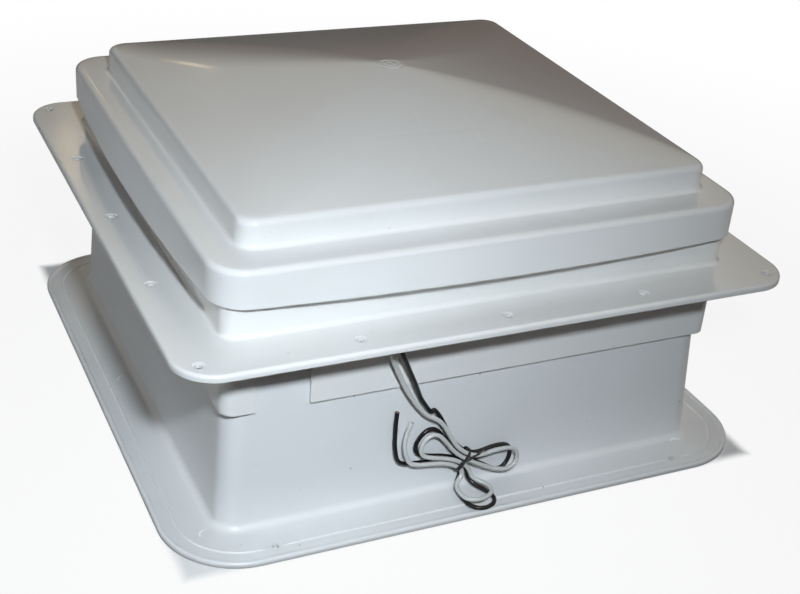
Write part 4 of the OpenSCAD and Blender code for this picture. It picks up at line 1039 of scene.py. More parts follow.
@dataclass
class Stage:
    """Floor, light and camera, in metres."""

    camera_at: Point = (-0.39391, -0.82746, 0.55765)
    camera_turn: tuple[float, float, float, float] = (0.845799, 0.488664, -0.139444, -0.16244)
    lens: float = 61.99
    sensor: float = 36.0
    clip: Span = (0.01, 100.0)
    floor_half: float = 30.0
    floor_drop: float = 0.0004
    floor_colour: Colour = (0.8, 0.8, 0.79)
    floor_mottle: float = 1.5
    floor_dim: tuple[Colour, Colour] = ((0.10, 0.085, 0.075), (0.12, 0.105, 0.09))
    floor_white: float = 0.90
    white_from: Span = (0.3, 0.95)
    floor_mirrored: float = 0.3
    mirrored_from: Span = (2.5, 0.7)
    shade_ends: Span = (0.203, 0.213)
    lit_under: Span = (0.208, 0.204)
    ceiling_from: Span = (0.12, 0.44)
    ceiling_colour: Colour = (1.0, 0.88, 0.68)
    room_light: Colour = (0.042, 0.04, 0.038)
    room_dark: Colour = (0.12, 0.06, 0.03)
    lamps: tuple[Lamp, ...] = (
        Lamp("key_light", (-0.29, -0.79, 0.66), (-0.13, -0.15, 0.06), 0.06, 1.2, (0.826, 0.922, 1.0),
             70.0, mirrored=True),
        Lamp("left_fill", (-1.3, -0.1, 0.2), (-0.1, 0.0, 0.1), 0.3, 2.1, (0.85, 0.94, 1.0)),
        Lamp("top_fill", (0.7, -0.9, 1.9), (0.0, 0.0, 0.2), 1.0, 1.8, (1.0, 0.72, 0.45)),
        Lamp("back_fill", (0.3, 2.4, 0.1), (0.0, 0.0, 0.1), 2.0, 21.0, (1.0, 0.97, 0.94), tall=0.08),
        Lamp("right_fill", (2.4, 0.3, 0.1), (0.0, 0.0, 0.1), 2.0, 17.0, (1.0, 0.97, 0.94), tall=0.08),
        Lamp("under_fill", (0.0, 0.0, -1.2), (0.0, 0.0, 0.0), 0.6, 10.0, (1.0, 0.97, 0.94)),
        Lamp("warm_lamp", (0.23, 2.2, 1.09), (-0.15, 0.1, 0.18), 0.05, 0.06, (1.0, 0.72, 0.42),
             mirrored=True, tall=3.6))

    def build(self) -> None:
        """Makes the camera, the floor, the world and the lamps."""
        self._camera()
        self._floor()
        self._world()
        for lamp in self.lamps:
            lamp.hang()

    def _camera(self) -> None:
        """Sets the camera at the photograph's viewing angle."""
        data = bpy.data.cameras.new("view")
        data.lens, data.sensor_width = self.lens, self.sensor
        data.clip_start, data.clip_end = self.clip
        camera = bpy.data.objects.new("view", data)
        camera.rotation_mode = "QUATERNION"
        camera.location, camera.rotation_quaternion = self.camera_at, Quaternion(self.camera_turn)
        bpy.context.scene.collection.objects.link(camera)
        bpy.context.scene.camera = camera

    def _floor(self) -> None:
        """Lays a wide floor, white to the camera and to gloss, dark under the vent and clear from below."""
        work = bmesh.new()
        bmesh.ops.create_grid(work, x_segments=1, y_segments=1, size=self.floor_half)
        bmesh.ops.translate(work, verts=work.verts, vec=(0.0, 0.0, -self.floor_drop))
        material, kit = start_material("pale_floor")
        here = kit.here()
        rays = kit.node("ShaderNodeLightPath").outputs
        dim = kit.blend(kit.noise(here, self.floor_mottle), *self.floor_dim)
        matt = kit.node("ShaderNodeBsdfPrincipled", {
            "Base Color": kit.blend(rays["Is Camera Ray"], dim, self.floor_colour),
            "Roughness": 0.9, "Specular IOR Level": 0.1}).outputs[0]
        place = kit.node("ShaderNodeSeparateXYZ", {0: here}).outputs
        reach = kit.math("MAXIMUM", kit.math("ABSOLUTE", place["X"]), kit.math("ABSOLUTE", place["Y"]))
        far = kit.vector("LENGTH", here)
        rest = kit.rise(far, *self.white_from)
        clean = kit.math("MULTIPLY_ADD", rest, 1.0 - self.floor_white, self.floor_white)
        pale = kit.math("MULTIPLY", kit.rise(reach, *self.shade_ends), clean)
        near = kit.math("MULTIPLY", kit.rise(far, *self.mirrored_from), self.floor_mirrored)
        mirrored = kit.math("MULTIPLY", rays["Is Glossy Ray"], near)
        direct = kit.math("MAXIMUM", rays["Is Camera Ray"], rays["Is Transmission Ray"])
        seen = kit.math("MULTIPLY", kit.math("MAXIMUM", direct, mirrored), pale)
        white = kit.node("ShaderNodeEmission", {"Color": rgba(WHITE), "Strength": 1.0}).outputs[0]
        behind = kit.node("ShaderNodeNewGeometry").outputs["Backfacing"]
        from_below = kit.math("MULTIPLY", behind, rays["Is Camera Ray"])
        lit_below = kit.math("MULTIPLY", rays["Is Shadow Ray"], kit.rise(reach, *self.lit_under))
        clear = kit.node("ShaderNodeBsdfTransparent").outputs[0]
        above = kit.either(seen, matt, white)
        floor = kit.either(kit.math("MAXIMUM", from_below, lit_below), above, clear)
        kit.node("ShaderNodeOutputMaterial", {"Surface": floor})
        moulded("floor", work, material)

    def _world(self) -> None:
        """Sets a dim room with a warm pale ceiling for gloss to mirror, which the camera sees as white."""
        world = bpy.data.worlds.new("studio")
        bpy.context.scene.world = world
        world.use_nodes = True
        world.node_tree.nodes.clear()
        kit = NodeKit(world.node_tree)
        rays = kit.node("ShaderNodeLightPath").outputs
        toward = kit.node("ShaderNodeTexCoord").outputs["Generated"]
        height = kit.node("ShaderNodeSeparateXYZ", {0: toward}).outputs["Z"]
        ceiling = kit.math("MULTIPLY", rays["Is Glossy Ray"], kit.rise(height, *self.ceiling_from))
        direct = kit.math("MAXIMUM", rays["Is Camera Ray"], rays["Is Transmission Ray"])
        room = kit.blend(rays["Is Glossy Ray"], self.room_light, self.room_dark)
        colour = kit.blend(direct, kit.blend(ceiling, room, self.ceiling_colour), WHITE)
        light = kit.node("ShaderNodeBackground", {"Color": colour, "Strength": 1.0})
        kit.node("ShaderNodeOutputWorld", {"Surface": light.outputs[0]})


@dataclass
class Tie:
    """A coated wire tie, twice round the hank's waist, with two twisted ends, in millimetres."""

    half: float = 8.2
    low: float = 0.75
    high: float = 8.9
    turns: float = 2.15
    steps: int = 96
    squareness: float = 0.55
    spread: float = 2.4
    wire_r: float = 0.5
    sides: int = 8
    end_r: float = 0.45
    end_steps: int = 40
    end_from: Point = (1.0, -0.9, 1.1)
    end_run: Point = (6.2, -1.2, 13.0)
    end_twist: float = 2.2
    twist_size: Span = (0.55, 0.35)
    parts_at: float = 0.75
    parts_by: float = 1.7

    def build(self, place: Matrix) -> Piece:
        """Makes the tie.

        Args:
            place: where the waist is on the wall.

        Returns:
            The tie.
        """
        work = bmesh.new()
        loop = relaxed([place @ p for p in self._loop()], 3)
        ends = [[place @ p for p in self._end(sign)] for sign in (-1, 1)]
        for line, radius in ((loop, self.wire_r), (ends[0], self.end_r), (ends[1], self.end_r)):
            cap(work, sweep(work, [p * MM for p in line], radius * MM, self.sides))
        piece = moulded("wire_tie", work, Finishes.TIE.material())
        return finished(piece, Body.BASE, "lead_black", "hank_tie")

    def _squared(self, value: float) -> float:
        """Brings a sine nearer to 1 or -1, so that a circle becomes squarish."""
        return math.copysign(abs(value) ** self.squareness, value)

    def _loop(self) -> list[Vector]:
        """The turns round the waist.

        Returns:
            Points along, off and across the waist.
        """
        middle, reach = (self.low + self.high) / 2, (self.high - self.low) / 2
        loop = []
        for i in range(int(self.turns * self.steps) + 1):
            a = math.pi / 2 + 2 * math.pi * i / self.steps
            along = (i / (self.turns * self.steps) - 0.5) * self.spread
            off = middle + reach * self._squared(math.sin(a))
            loop.append(Vector((along, -off, self.half * self._squared(math.cos(a)))))
        return loop

    def _end(self, sign: int) -> list[Vector]:
        """One of the two ends, twisted together and parted at their tips.

        Args:
            sign: which end.

        Returns:
            Its points.
        """
        end = []
        for i in range(self.end_steps + 1):
            f = i / self.end_steps
            spin = 2 * math.pi * self.end_twist * f + math.pi * (sign > 0)
            x, y, z = (start + run * f for start, run in zip(self.end_from, self.end_run))
            x += self.twist_size[0] * math.cos(spin)
            x += self.parts_by * sign * max(0.0, f - self.parts_at) / (1 - self.parts_at)
            end.append(Vector((x, y - self.high + self.twist_size[1] * math.sin(spin), z)))
        return end


@dataclass(frozen=True)
class Lobe:
    """One loop of a hank: how far it reaches and how wide it swells, in millimetres."""

    reach: float
    swell: float


@dataclass(frozen=True)
class Lead:
    """One supply lead with its tied hank, in millimetres."""

    name: str
    start_x: float
    route: tuple[Point, ...]
    lobes: tuple[Lobe, Lobe, Lobe, Lobe]
    tail: tuple[Span, ...]
    off: float
    finish: Plastic
    slot: str
    nodes: tuple[str, str]


@dataclass
class Leads:
    """The two supply leads, laid as the CAD lays them, and the tie round their hank, in millimetres."""

    diameter: float = 3.0
    exit_y: float = -178.0
    exit_z: float = 130.5
    waist: Span = (-11.5, 9.0)
    turn: float = -34.0
    right_turn: float = 15.0
    low_turn: float = -43.0
    fan_out: float = 22.0
    strand_step: float = 3.75
    leaves_at: float = 0.27
    ends_at: float = 0.66
    foot_bend: float = 14.0
    flange_t: float = 3.0
    foot_half: float = 177.6
    slope: float = 4.5 / 85.5
    loop_points: int = 72
    sides: int = 14
    bore: float = 0.55
    bore_depth: float = 0.8
    sharp: float = 50.0
    strand_circle: float = 0.5
    strand_steps: int = 8
    strand_profile: tuple[Span, ...] = ((0, -0.55), (0.24, -0.55), (0.24, 0.15), (0.16, 0.25), (0, 0.27))
    leads: tuple[Lead, ...] = (
        Lead("white_lead", -73.6, (
            (0, -3.2, 0), (0.2, -6.4, -1.2), (0.6, -8.4, -4), (1.2, -9, -8), (2.4, -8.8, -13),
            (5, -7.4, -18.5), (8, -6, -24.5), (11.5, -4.6, -31.5), (15, -3.8, -38.5), (19, -3.4, -45.5),
            (23.5, -3.2, -52.5), (28.5, -3, -59), (34, -3, -65)),
            (Lobe(-44, 19), Lobe(42, 12), Lobe(-36, 10), Lobe(46, 13.5)),
            ((-55, 26), (-55, 33), (-53.5, 40), (-51, 46)),
            6.7, Finishes.WHITE_LEAD, "lead_white", ("lead_white", "hank_white")),
        Lead("black_lead", -68.4, (
            (0, -3.2, 0), (0.5, -6.4, -1.2), (1.4, -8.6, -4), (2.6, -9.2, -8), (4.4, -8.8, -12.5),
            (7, -7.8, -17.5), (10, -6.4, -23.5), (13.5, -4.8, -30.5), (17, -3.4, -37.5), (20.5, -1.2, -45),
            (24, 0.2, -52.5), (28.5, 0.8, -59.5), (33, 0.8, -65.5)),
            (Lobe(-50, 24), Lobe(38, 12), Lobe(-38, 12), Lobe(51, 12)),
            ((-60, 25), (-60.5, 32), (-60.5, 39), (-60.5, 46), (-60, 53)),
            2.9, Finishes.BLACK_LEAD, "lead_black", ("lead_black", "hank_black")))

    def build(self) -> None:
        """Makes the tie, the leads' bare ends and the leads."""
        place = Matrix.Translation(self._wrap(*self.waist, 0.0))
        place = place @ Matrix.Rotation(-math.atan(self.slope), 4, "X")
        tie = Tie().build(place @ Matrix.Rotation(math.radians(-self.turn), 4, "Y"))
        for lead in self.leads:
            path = self._path(lead)
            piece = self._tube(lead, path)
            core = self._core(lead, path)
            finished(piece, Body.BASE, lead.slot, *lead.nodes)

    def _wrap(self, across: float, up: float, off: float) -> Vector:
        """Lays a point of the flat layout on the garnish's wall, foot or flange.

        Args:
            across: place along X.
            up: place up the wall, negative round the foot and out on the flange.
            off: height off the surface.

        Returns:
            The point, in millimetres.
        """
        bend = self.foot_bend * math.pi / 2
        wall = self.foot_half - self.foot_bend * self.slope
        a = max(0.0, min(math.pi / 2, -up / bend * math.pi / 2))
        r = self.foot_bend - off
        on_wall, on_flange = max(0.0, up), max(0.0, -up - bend)
        y = -wall - self.foot_bend + r * math.cos(a) - on_flange + on_wall * self.slope
        return Vector((across, y, self.flange_t + self.foot_bend - r * math.sin(a) + on_wall))

    def _lobe(self, f: float, lobe: Lobe, v0: float, v1: float, turn: float) -> Span:
        """A point of the flat layout, at f round one loop.

        Args:
            f: from 0, leaving the waist, to 1, back at it.
            lobe: the loop.
            v0: strand where it leaves.
            v1: strand where it comes back.
            turn: how far the loop swings from the waist's line, in degrees.

        Returns:
            Its place across and up.
        """
        u = lobe.reach * math.sin(math.pi * f)
        side = math.copysign(1.0, v0 - v1)
        v = v0 + (v1 - v0) * f + side * lobe.swell * math.sin(2 * math.pi * f) * math.sin(math.pi * f)
        c = min(1.0, abs(u) / self.fan_out)
        a = math.radians(self.turn + turn * c * c * (3 - 2 * c))
        x, y = self.waist
        return x + u * math.cos(a) - v * math.sin(a), y + u * math.sin(a) + v * math.cos(a)

    def _path(self, lead: Lead) -> list[Vector]:
        """The lead's centre line, from the grommet to its cut end.

        Args:
            lead: the lead.

        Returns:
            Its points, in metres.
        """
        n = self.loop_points
        a, b = 1.5 * self.strand_step, 0.5 * self.strand_step
        outer, right, inner, low = lead.lobes
        runs = (
            (self.leaves_at, 0.0, n // 3, outer, a, -a, 0.0), (0.0, 1.0, n, right, a, b, self.right_turn),
            (0.0, 1.0, n, inner, b, -b, 0.0), (0.0, 1.0, n, low, -b, -a, self.low_turn),
            (1.0, self.ends_at, n // 3, outer, a, -a, 0.0))
        flat = [
            self._lobe(f0 + (f1 - f0) * i / count, lobe, v0, v1, turn)
            for f0, f1, count, lobe, v0, v1, turn in runs for i in range(count)]
        hank = [self._wrap(p, q, lead.off) for p, q in flat]
        tail = [self._wrap(p, q, lead.off) for p, q in lead.tail]
        start = Vector((lead.start_x, self.exit_y, self.exit_z))
        free = [start] + [start + Vector(p) for p in lead.route]
        free.append(hank[0] - 1.5 * self.diameter * (hank[1] - hank[0]).normalized())
        free = through(free + [hank[0]], 5)[:-1]
        ends = through([hank[-1], *tail], 5)[1:]
        return [p * MM for p in relaxed(free + hank + ends, 6)]

    def _tube(self, lead: Lead, path: Sequence[Vector]) -> Piece:
        """Sweeps the insulation along the path, hollow at its cut end.

        Args:
            lead: the lead.
            path: its centre line.

        Returns:
            The insulation.
        """
        work = bmesh.new()
        rows = sweep(work, path, self.diameter / 2 * MM, self.sides)
        tip = path[-1]
        inward = (path[-2] - tip).normalized() * self.bore_depth * MM
        ring = [work.verts.new(tip + (v.co - tip) * self.bore) for v in rows[-1]]
        deep = [work.verts.new(v.co + inward) for v in ring]
        skin(work, [rows[-1], ring, deep])
        cap(work, [rows[0], deep])
        piece = moulded(lead.name, work, lead.finish.material())
        sharp_by_angle(piece, self.sharp)
        return piece

    def _core(self, lead: Lead, path: Sequence[Vector]) -> Piece:
        """The copper strands that show in the cut end, one in the middle and six round it.

        Args:
            lead: the lead.
            path: its centre line.

        Returns:
            The strands as one piece.
        """
        copper = Finishes.COPPER.material()
        strand = moulded("strand", revolved(self.strand_profile, self.strand_steps), copper)
        turn = Vector((0, 0, 1)).rotation_difference((path[-1] - path[-2]).normalized())
        spots = [Vector((0, 0, 0))]
        for a in (math.pi / 3 * i for i in range(6)):
            spots.append(self.strand_circle * Vector((math.cos(a), math.sin(a), 0)))
        places = [(tuple(path[-1] / MM + turn @ s), turn.to_euler()) for s in spots]
        return finished(scattered(lead.name + "_strands", strand, places, copper), Body.BASE, lead.slot)


@dataclass
class Lid:
    """The domed lid: skirt, ledge, step and a low four-sided dome, in millimetres."""

    half: float = 183.2
    radius: float = 24.0
    low: float = 164.9
    ledge: float = 189.9
    wall: float = 2.4
    bow: float = 6.5
    top_bow: float = 1.0
    rim_fillet: float = 4.0
    step_half: float = 157.7
    step_side: float = 163.7
    step_shift: float = 2.6
    step_radius: float = 12.0
    step_fillet: float = 5.0
    step_cove: float = 3.0
    dome_z: float = 208.4
    dome_h: float = 27.6
    dome_rings: int = 32
    dome_gather: float = 1.35
    crown: float = 1.15
    hip_low: float = 0.07
    hip_rise: float = 0.6
    hip_most: float = 0.98
    lip: float = 0.7
    skirt_steps: int = 8
    ledge_out: tuple[float, ...] = (19.5, 16.0, 11.0, 6.0, 4.0)
    riser_shares: tuple[float, ...] = (0.1, 0.35, 0.65, 0.9)
    under_ledge: tuple[Span, ...] = ((0.0, 0.6), (0.6, 0.0), (4.0, 0.0), (12.0, 0.0), (20.0, 0.0))
    gate: tuple[Span, ...] = (
        (0, -0.35), (1.2, -0.3), (1.8, 0.0), (4.6, -0.05), (5.2, -0.38), (6.0, -0.42), (6.6, -0.05),
        (7.2, -0.1), (9.0, -1.1))
    gate_steps: int = 48
    gate_sharp: float = 60.0
    shape: RingShape = RingShape(16, 44)

    def build(self) -> None:
        """Makes the lid's moulding and the gate mark on its apex."""
        work = loft(self.shape, self._outside() + self._inside())
        piece = moulded("lid_moulding", work, Finishes.LID.material())
        finished(piece, Body.LID, "lid_plastic", "lid")
        self._gate_mark()

    def _ring(self, half: float, radius: float, z: float, out: float = 0.0, edge: float = 0.0) -> Section:
        """One ring of the ledge or the step, which is wider across than along.

        Args:
            half: half its length along Y.
            radius: its corner radius.
            z: its height.
            out: how far it lies outside the step.
            edge: its edge value.

        Returns:
            The ring, stretched less the nearer it is to the rim.
        """
        span = self.half - self.rim_fillet - self.step_half - self.step_cove
        share = max(0.0, min(1.0, (self.step_cove + span - out) / span))
        wide = 1.0 + (self.step_side / self.step_half - 1.0) * share
        return Section(half, radius, z, 0.0, edge, wide, self.step_shift * share)

    def _dome(self, half: float, z: float) -> list[Section]:
        """Rings of the dome from its edge to its apex, with hips that soften upward.

        Args:
            half: half width of the dome's edge.
            z: its height there.

        Returns:
            The rings.
        """
        rings = []
        wide = self.step_side / self.step_half
        for i in range(1, self.dome_rings + 1):
            f = 1 - (i / (self.dome_rings + 0.5)) ** self.dome_gather
            soft = min(self.hip_low + self.hip_rise * math.sqrt(1 - f), self.hip_most)
            level = z + self.dome_h * (1 - f ** self.crown)
            rings.append(Section(f * half, f * half * soft, level, 0.0, 0.0, wide, self.step_shift * f))
        return rings

    def _skirt(self, half: float, radius: float, start: Span, stop: Span) -> list[Section]:
        """Rings of one side of the skirt's wall.

        Args:
            half: half its width.
            radius: its corner radius.
            start: height and bow of the first ring.
            stop: height and bow of the last ring.

        Returns:
            The rings.
        """
        shares = [i / self.skirt_steps for i in range(self.skirt_steps + 1)]
        return [Section(half, radius, *(a + (b - a) * f for a, b in zip(start, stop))) for f in shares]

    def _outside(self) -> list[Section]:
        """Rings of the outer skin, from the skirt's edge to the apex.

        Returns:
            The rings.
        """
        h, r, top, lip = self.half, self.radius, self.ledge, self.lip
        rings = [
            Section(h - lip, r - lip, self.low, self.bow, 0.6),
            Section(h - 0.2 * lip, r - 0.2 * lip, self.low + 0.3 * lip, self.bow, 1.0),
            Section(h, r, self.low + lip, self.bow, 0.7)]
        rings += self._skirt(h, r, (self.low + 2 * lip, self.bow), (top - self.rim_fillet, self.top_bow))
        for c, d, edge in rounded(self.rim_fillet, 8, first=1):
            rings.append(Section(h - c, r - c, top - d, self.top_bow * (1 - c / self.rim_fillet), edge))
        s, q = self.step_half, self.step_radius
        for out in self.ledge_out:
            rings.append(self._ring(s + out, q + out, top, out))
        for c, d, _ in rounded(self.step_cove, 6):
            rings.append(self._ring(s + d, q + d, top + c))
        z0, z1 = top + self.step_cove, self.dome_z - self.step_fillet
        for f in self.riser_shares:
            rings.append(self._ring(s, q, z0 + f * (z1 - z0)))
        tilt = math.atan(self.crown * self.dome_h / (s - self.step_fillet))
        for c, d, edge in rounded(self.step_fillet, 9, 1 - tilt / (math.pi / 2)):
            rings.append(self._ring(s - c, q - 0.4 * c, self.dome_z - d, edge=edge))
        return rings + self._dome(s - self.step_fillet, self.dome_z)

    def _inside(self) -> list[Section]:
        """Rings of the inner skin, from the apex down to the skirt's edge.

        Returns:
            The rings.
        """
        h, r = self.half - self.wall, self.radius - self.wall
        s, q, top = self.step_half - self.wall, self.step_radius - self.wall, self.dome_z - self.wall
        under = self.ledge - self.wall
        rings = list(reversed(self._dome(s - self.step_fillet, top)))
        for c, d, _ in reversed(rounded(self.step_fillet, 5)):
            rings.append(self._ring(s - c, q - 0.4 * c, top - d))
        for out, up in self.under_ledge:
            rings.append(self._ring(s + out, q + 0.6 * out, under + up, out))
        rings += [Section(h - 2.0, r - 1.0, under), Section(h - 0.4, r - 0.4, under - 0.8, self.top_bow)]
        rings += self._skirt(h, r, (under - 2.0, self.top_bow), (self.low + self.lip, self.bow))
        rings.append(Section(h + 0.3 * self.lip, r + 0.3 * self.lip, self.low, self.bow))
        return rings

    def _gate_mark(self) -> None:
        """Closes the dome's apex with the moulding's round gate mark, outside and in."""
        top = self.dome_z + self.dome_h
        profile = [*self.gate, (self.gate[-1][0], -self.wall - 1.0), (0, -self.wall - 0.6)]
        work = revolved([(r, top + z) for r, z in profile], self.gate_steps)
        piece = moulded("lid_gate_mark", work, Finishes.LID.material())
        sharp_by_angle(piece, self.gate_sharp)
        finished(piece, Body.LID, "lid_plastic")


@dataclass
class Garnish:
    """The inner garnish: a flange with a lip and a bead, a soft foot and a drawn wall, in millimetres."""

    half: float = 212.0
    radius: float = 52.0
    flange_t: float = 3.0
    lip_w: float = 4.0
    lip_h: float = 4.2
    bead_in: float = 12.0
    bead_r: float = 1.1
    bead_steps: int = 10
    foot_half: float = 177.6
    foot_radius: float = 15.0
    foot_draw: float = 0.25
    cove: float = 5.0
    height: float = 116.0
    slope: float = 4.5 / 85.5
    wall: float = 2.2
    hole_x: float = 148.0
    hole_y: float = 200.0
    hole_r: float = 2.3
    hole_z: Span = (-3.0, 8.0)
    hole_steps: int = 32
    sharp: float = 50.0
    flat_r: float = 7.0
    flat_fade: float = 2.0
    flat_clear: Span = (3.0, 1.0)
    edge: float = 0.6
    lip_soft: float = 0.45
    flange_shares: tuple[float, ...] = (0.04, 0.3, 0.55, 0.8, 0.95)
    wall_shares: tuple[float, ...] = (0.02, 0.1, 0.25, 0.45, 0.65, 0.85, 0.97)
    inside_shares: tuple[float, ...] = (0.99, 0.75, 0.5, 0.25, 0.01)
    shape: RingShape = RingShape(20, 120)

    def build(self) -> None:
        """Lofts the garnish, flattens its bead at the screw holes and cuts them."""
        finish = Finishes.GARNISH.material()
        work = loft(self.shape, self._sections())
        self._flatten_bead(work)
        piece = moulded("garnish_moulding", work, finish)
        (low, high), r = self.hole_z, self.hole_r
        bore = revolved([(0, low), (r, low), (r, high), (0, high)], self.hole_steps)
        places = [((x, y, 0.0), Euler((0, 0, 0))) for x, y in self._holes()]
        cut_away(piece, scattered("garnish_drills", moulded("drill", bore, finish), places, finish))
        sharp_by_angle(piece, self.sharp)
        finished(piece, Body.BASE, "garnish_plastic", "inner_garnish")

    def _holes(self) -> list[Span]:
        """Where the screw holes are."""
        return [(x, y) for x in both(self.hole_x) for y in both(self.hole_y)]

    def _wall_half(self, z: float) -> float:
        """Half width of the wall's outside at a height."""
        return self.foot_half - (z - self.flange_t) * self.slope

    def _sections(self) -> list[Section]:
        """Rings from the flange's lower edge over its top and up the wall, and down inside.

        Returns:
            The rings.
        """
        h, r, t, tall = self.half, self.radius, self.flange_t, self.height
        soft, edge = self.lip_h * self.lip_soft, self.edge
        rings = [Section(h - edge, r - edge, 0.0), Section(h, r, edge, 0.0, 0.8)]
        rings.append(Section(h, r, self.lip_h - soft))
        for c, d, rub in rounded(soft, 5, first=1):
            rings.append(Section(h - c, r - c, self.lip_h - d, 0.0, rub))
        inner, inner_r = h - self.lip_w, r - self.lip_w
        for c, d, _ in reversed(rounded(soft, 4)):
            rings.append(Section(inner + c, inner_r + c, max(t, self.lip_h - d)))
        rings += [Section(inner - d, inner_r - d, t) for d in (edge, self.lip_w)]
        bead = h - self.bead_in
        for i in range(self.bead_steps + 1):
            a = math.pi * i / self.bead_steps
            x = bead + self.bead_r * math.cos(a)
            rings.append(Section(x, r - h + x, t + self.bead_r * math.sin(a), 0.0, 0.6 * math.sin(a)))
        foot, q, last = self.foot_half, self.foot_radius, bead - self.bead_r
        for f in self.flange_shares:
            x = last + f * (foot + self.cove - last)
            rings.append(Section(x, (r - h + last) * (1 - f) + (q + self.cove) * f, t))
        for c, d, _ in rounded(self.cove, 8):
            rings.append(Section(foot + d - self.foot_draw * (1 - d / self.cove), q + d, t + c))
        z0 = t + self.cove
        for f in self.wall_shares:
            z = z0 + f * (tall - edge - z0)
            rings.append(Section(self._wall_half(z), q, z))
        top, w = self._wall_half(tall), self.wall
        rings += [Section(top - 0.5, q - 0.5, tall), Section(top - w + 0.4, q - w, tall)]
        for z in (f * tall for f in self.inside_shares):
            rings.append(Section(self._wall_half(z) - w, q - w, z))
        return rings + [Section(self._wall_half(0) - w + 0.4, q - w + 0.4, 0.0)]

    def _flatten_bead(self, work: BMesh) -> None:
        """Lowers the bead into a shallow round land at each screw hole.

        Args:
            work: the garnish.
        """
        top, peak = self.flange_t * MM, 1.2 * self.bead_r * MM
        near = (self.half - self.bead_in - self.flat_clear[0]) * MM
        far = (self.half - self.lip_w - self.flat_clear[1]) * MM
        for vert in work.verts:
            out = max(abs(vert.co.x), abs(vert.co.y))
            if not (1e-6 < vert.co.z - top <= peak and near <= out <= far):
                continue
            for x, y in self._holes():
                apart = math.hypot(vert.co.x / MM - x, vert.co.y / MM - y)
                share = max(0.0, min(1.0, (apart - self.flat_r) / self.flat_fade))
                vert.co.z = top + (vert.co.z - top) * share


@dataclass
class Fastener:
    """A group of screws or rivets: what they replace, where they are and how large."""

    node: str
    body: Body
    places: Sequence[tuple[Point, Side]]
    shank: float
    length: float
    head: float = 7.0
    head_h: float = 2.0
    cross: bool = True
    tip: float = 0.3
    dome: tuple[Span, ...] = ((0.45, 0.04), (0.75, 0.2), (0.93, 0.5), (1.0, 0.82))
    recess: Point = (0.62, 0.2, 0.62)
    steps: int = 28
    sharp: float = 40.0

    def build(self) -> None:
        """Repeats the fastener at its places."""
        finish = Finishes.STEEL.material()
        spots = [(at, side.turn()) for at, side in self.places]
        piece = scattered(self.node + "_set", self._shape(finish), spots, finish)
        sharp_by_angle(piece, self.sharp)
        finished(piece, self.body, "bright_steel", self.node)

    def _shape(self, finish: Material) -> Piece:
        """One fastener, its head below zero and its shank along +Z.

        Args:
            finish: its material.

        Returns:
            The fastener.
        """
        r, top, shank, end = self.head / 2, -self.head_h, self.shank / 2, self.length
        profile = [(0, top)] + [(a * r, top + b * self.head_h) for a, b in self.dome]
        profile += [(r, -0.02), (shank, 0.0), (shank, end - self.tip), (shank - self.tip, end), (0, end)]
        piece = moulded(self.node + "_one", revolved(profile, self.steps), finish)
        if self.cross:
            work = bmesh.new()
            arm, width = 2 * self.recess[0] * r, self.recess[1] * r
            depth = 2 * self.recess[2] * self.head_h
            for size in ((arm, width, depth), (width, arm, depth)):
                bar = bmesh.ops.create_cube(work, size=1.0)["verts"]
                bmesh.ops.scale(work, vec=Vector(size) * MM, verts=bar)
                bmesh.ops.translate(work, vec=Vector((0, 0, top * MM)), verts=bar)
            cut_away(piece, moulded("cross_recess", work, finish), True)
        return piece


@dataclass
class Fasteners:
    """All screws and rivets, in millimetres."""

    screen_at: float = 162.4
    screen_z: float = 116.0
    wall_at: float = 171.4
    tab_x: float = 7.0
    tab_z: float = 149.0
    motor_y: float = 12.5
    motor_z: float = 160.0
    lift_y: Span = (10.79, 54.94)
    lift_z: float = 146.0
    cover_x: float = 153.4
    cover_y: Span = (9.99, 55.74)
    cover_z: Span = (133.6, 162.4)
    knob_at: Point = (143.0, 21.339, 80.4)
    hinge_at: Point = (132.0, 184.8, 178.5)
    hinge_half: float = 18.4
    rail_x: float = 167.6
    rail_y: tuple[float, ...] = (-104.2, -13.35, 77.5)
    rail_z: float = 185.9

    def build(self) -> None:
        """Makes each group."""
        s, w = self.screen_at, self.wall_at
        corners = [((x, y, self.screen_z), Side.UP) for x in both(s) for y in both(s)]
        walls = ((w, Side.BACK), (-w, Side.FRONT))
        tabs = [((x, y, self.tab_z), side) for x in both(self.tab_x) for y, side in walls]
        motor = [((0, y, self.motor_z), Side.DOWN) for y in both(self.motor_y)]
        wall = [((w, y, self.lift_z), Side.RIGHT) for y in self.lift_y]
        cover = [((self.cover_x, y, z), Side.LEFT) for y in self.cover_y for z in self.cover_z]
        knob = [(self.knob_at, Side.UP)]
        across, y, z = self.hinge_at
        hinge = [((x + d, y, z), Side.FRONT) for x in both(across) for d in both(self.hinge_half)]
        rail = [((self.rail_x, y, self.rail_z), Side.UP) for y in self.rail_y]
        for group in (
                Fastener("screen_screws", Body.BASE, corners, 2.9, 18.0),
                Fastener("bracket_screws", Body.BASE, tabs, 3.5, 4.2),
                Fastener("motor_screws", Body.BASE, motor, 2.9, 7.7),
                Fastener("lift_bracket_screws", Body.BASE, wall, 3.5, 4.2),
                Fastener("gear_screws", Body.BASE, cover, 2.5, 10.1, 5.0),
                Fastener("knob_screw", Body.CRANK, knob, 2.9, 12.0),
                Fastener("hinge_rivets", Body.LID, hinge, 3.2, 1.6, 6.0, 1.6, False),
                Fastener("rail_rivets", Body.LID, rail, 3.2, 1.6, 4.6, 1.4, False)):
            group.build()


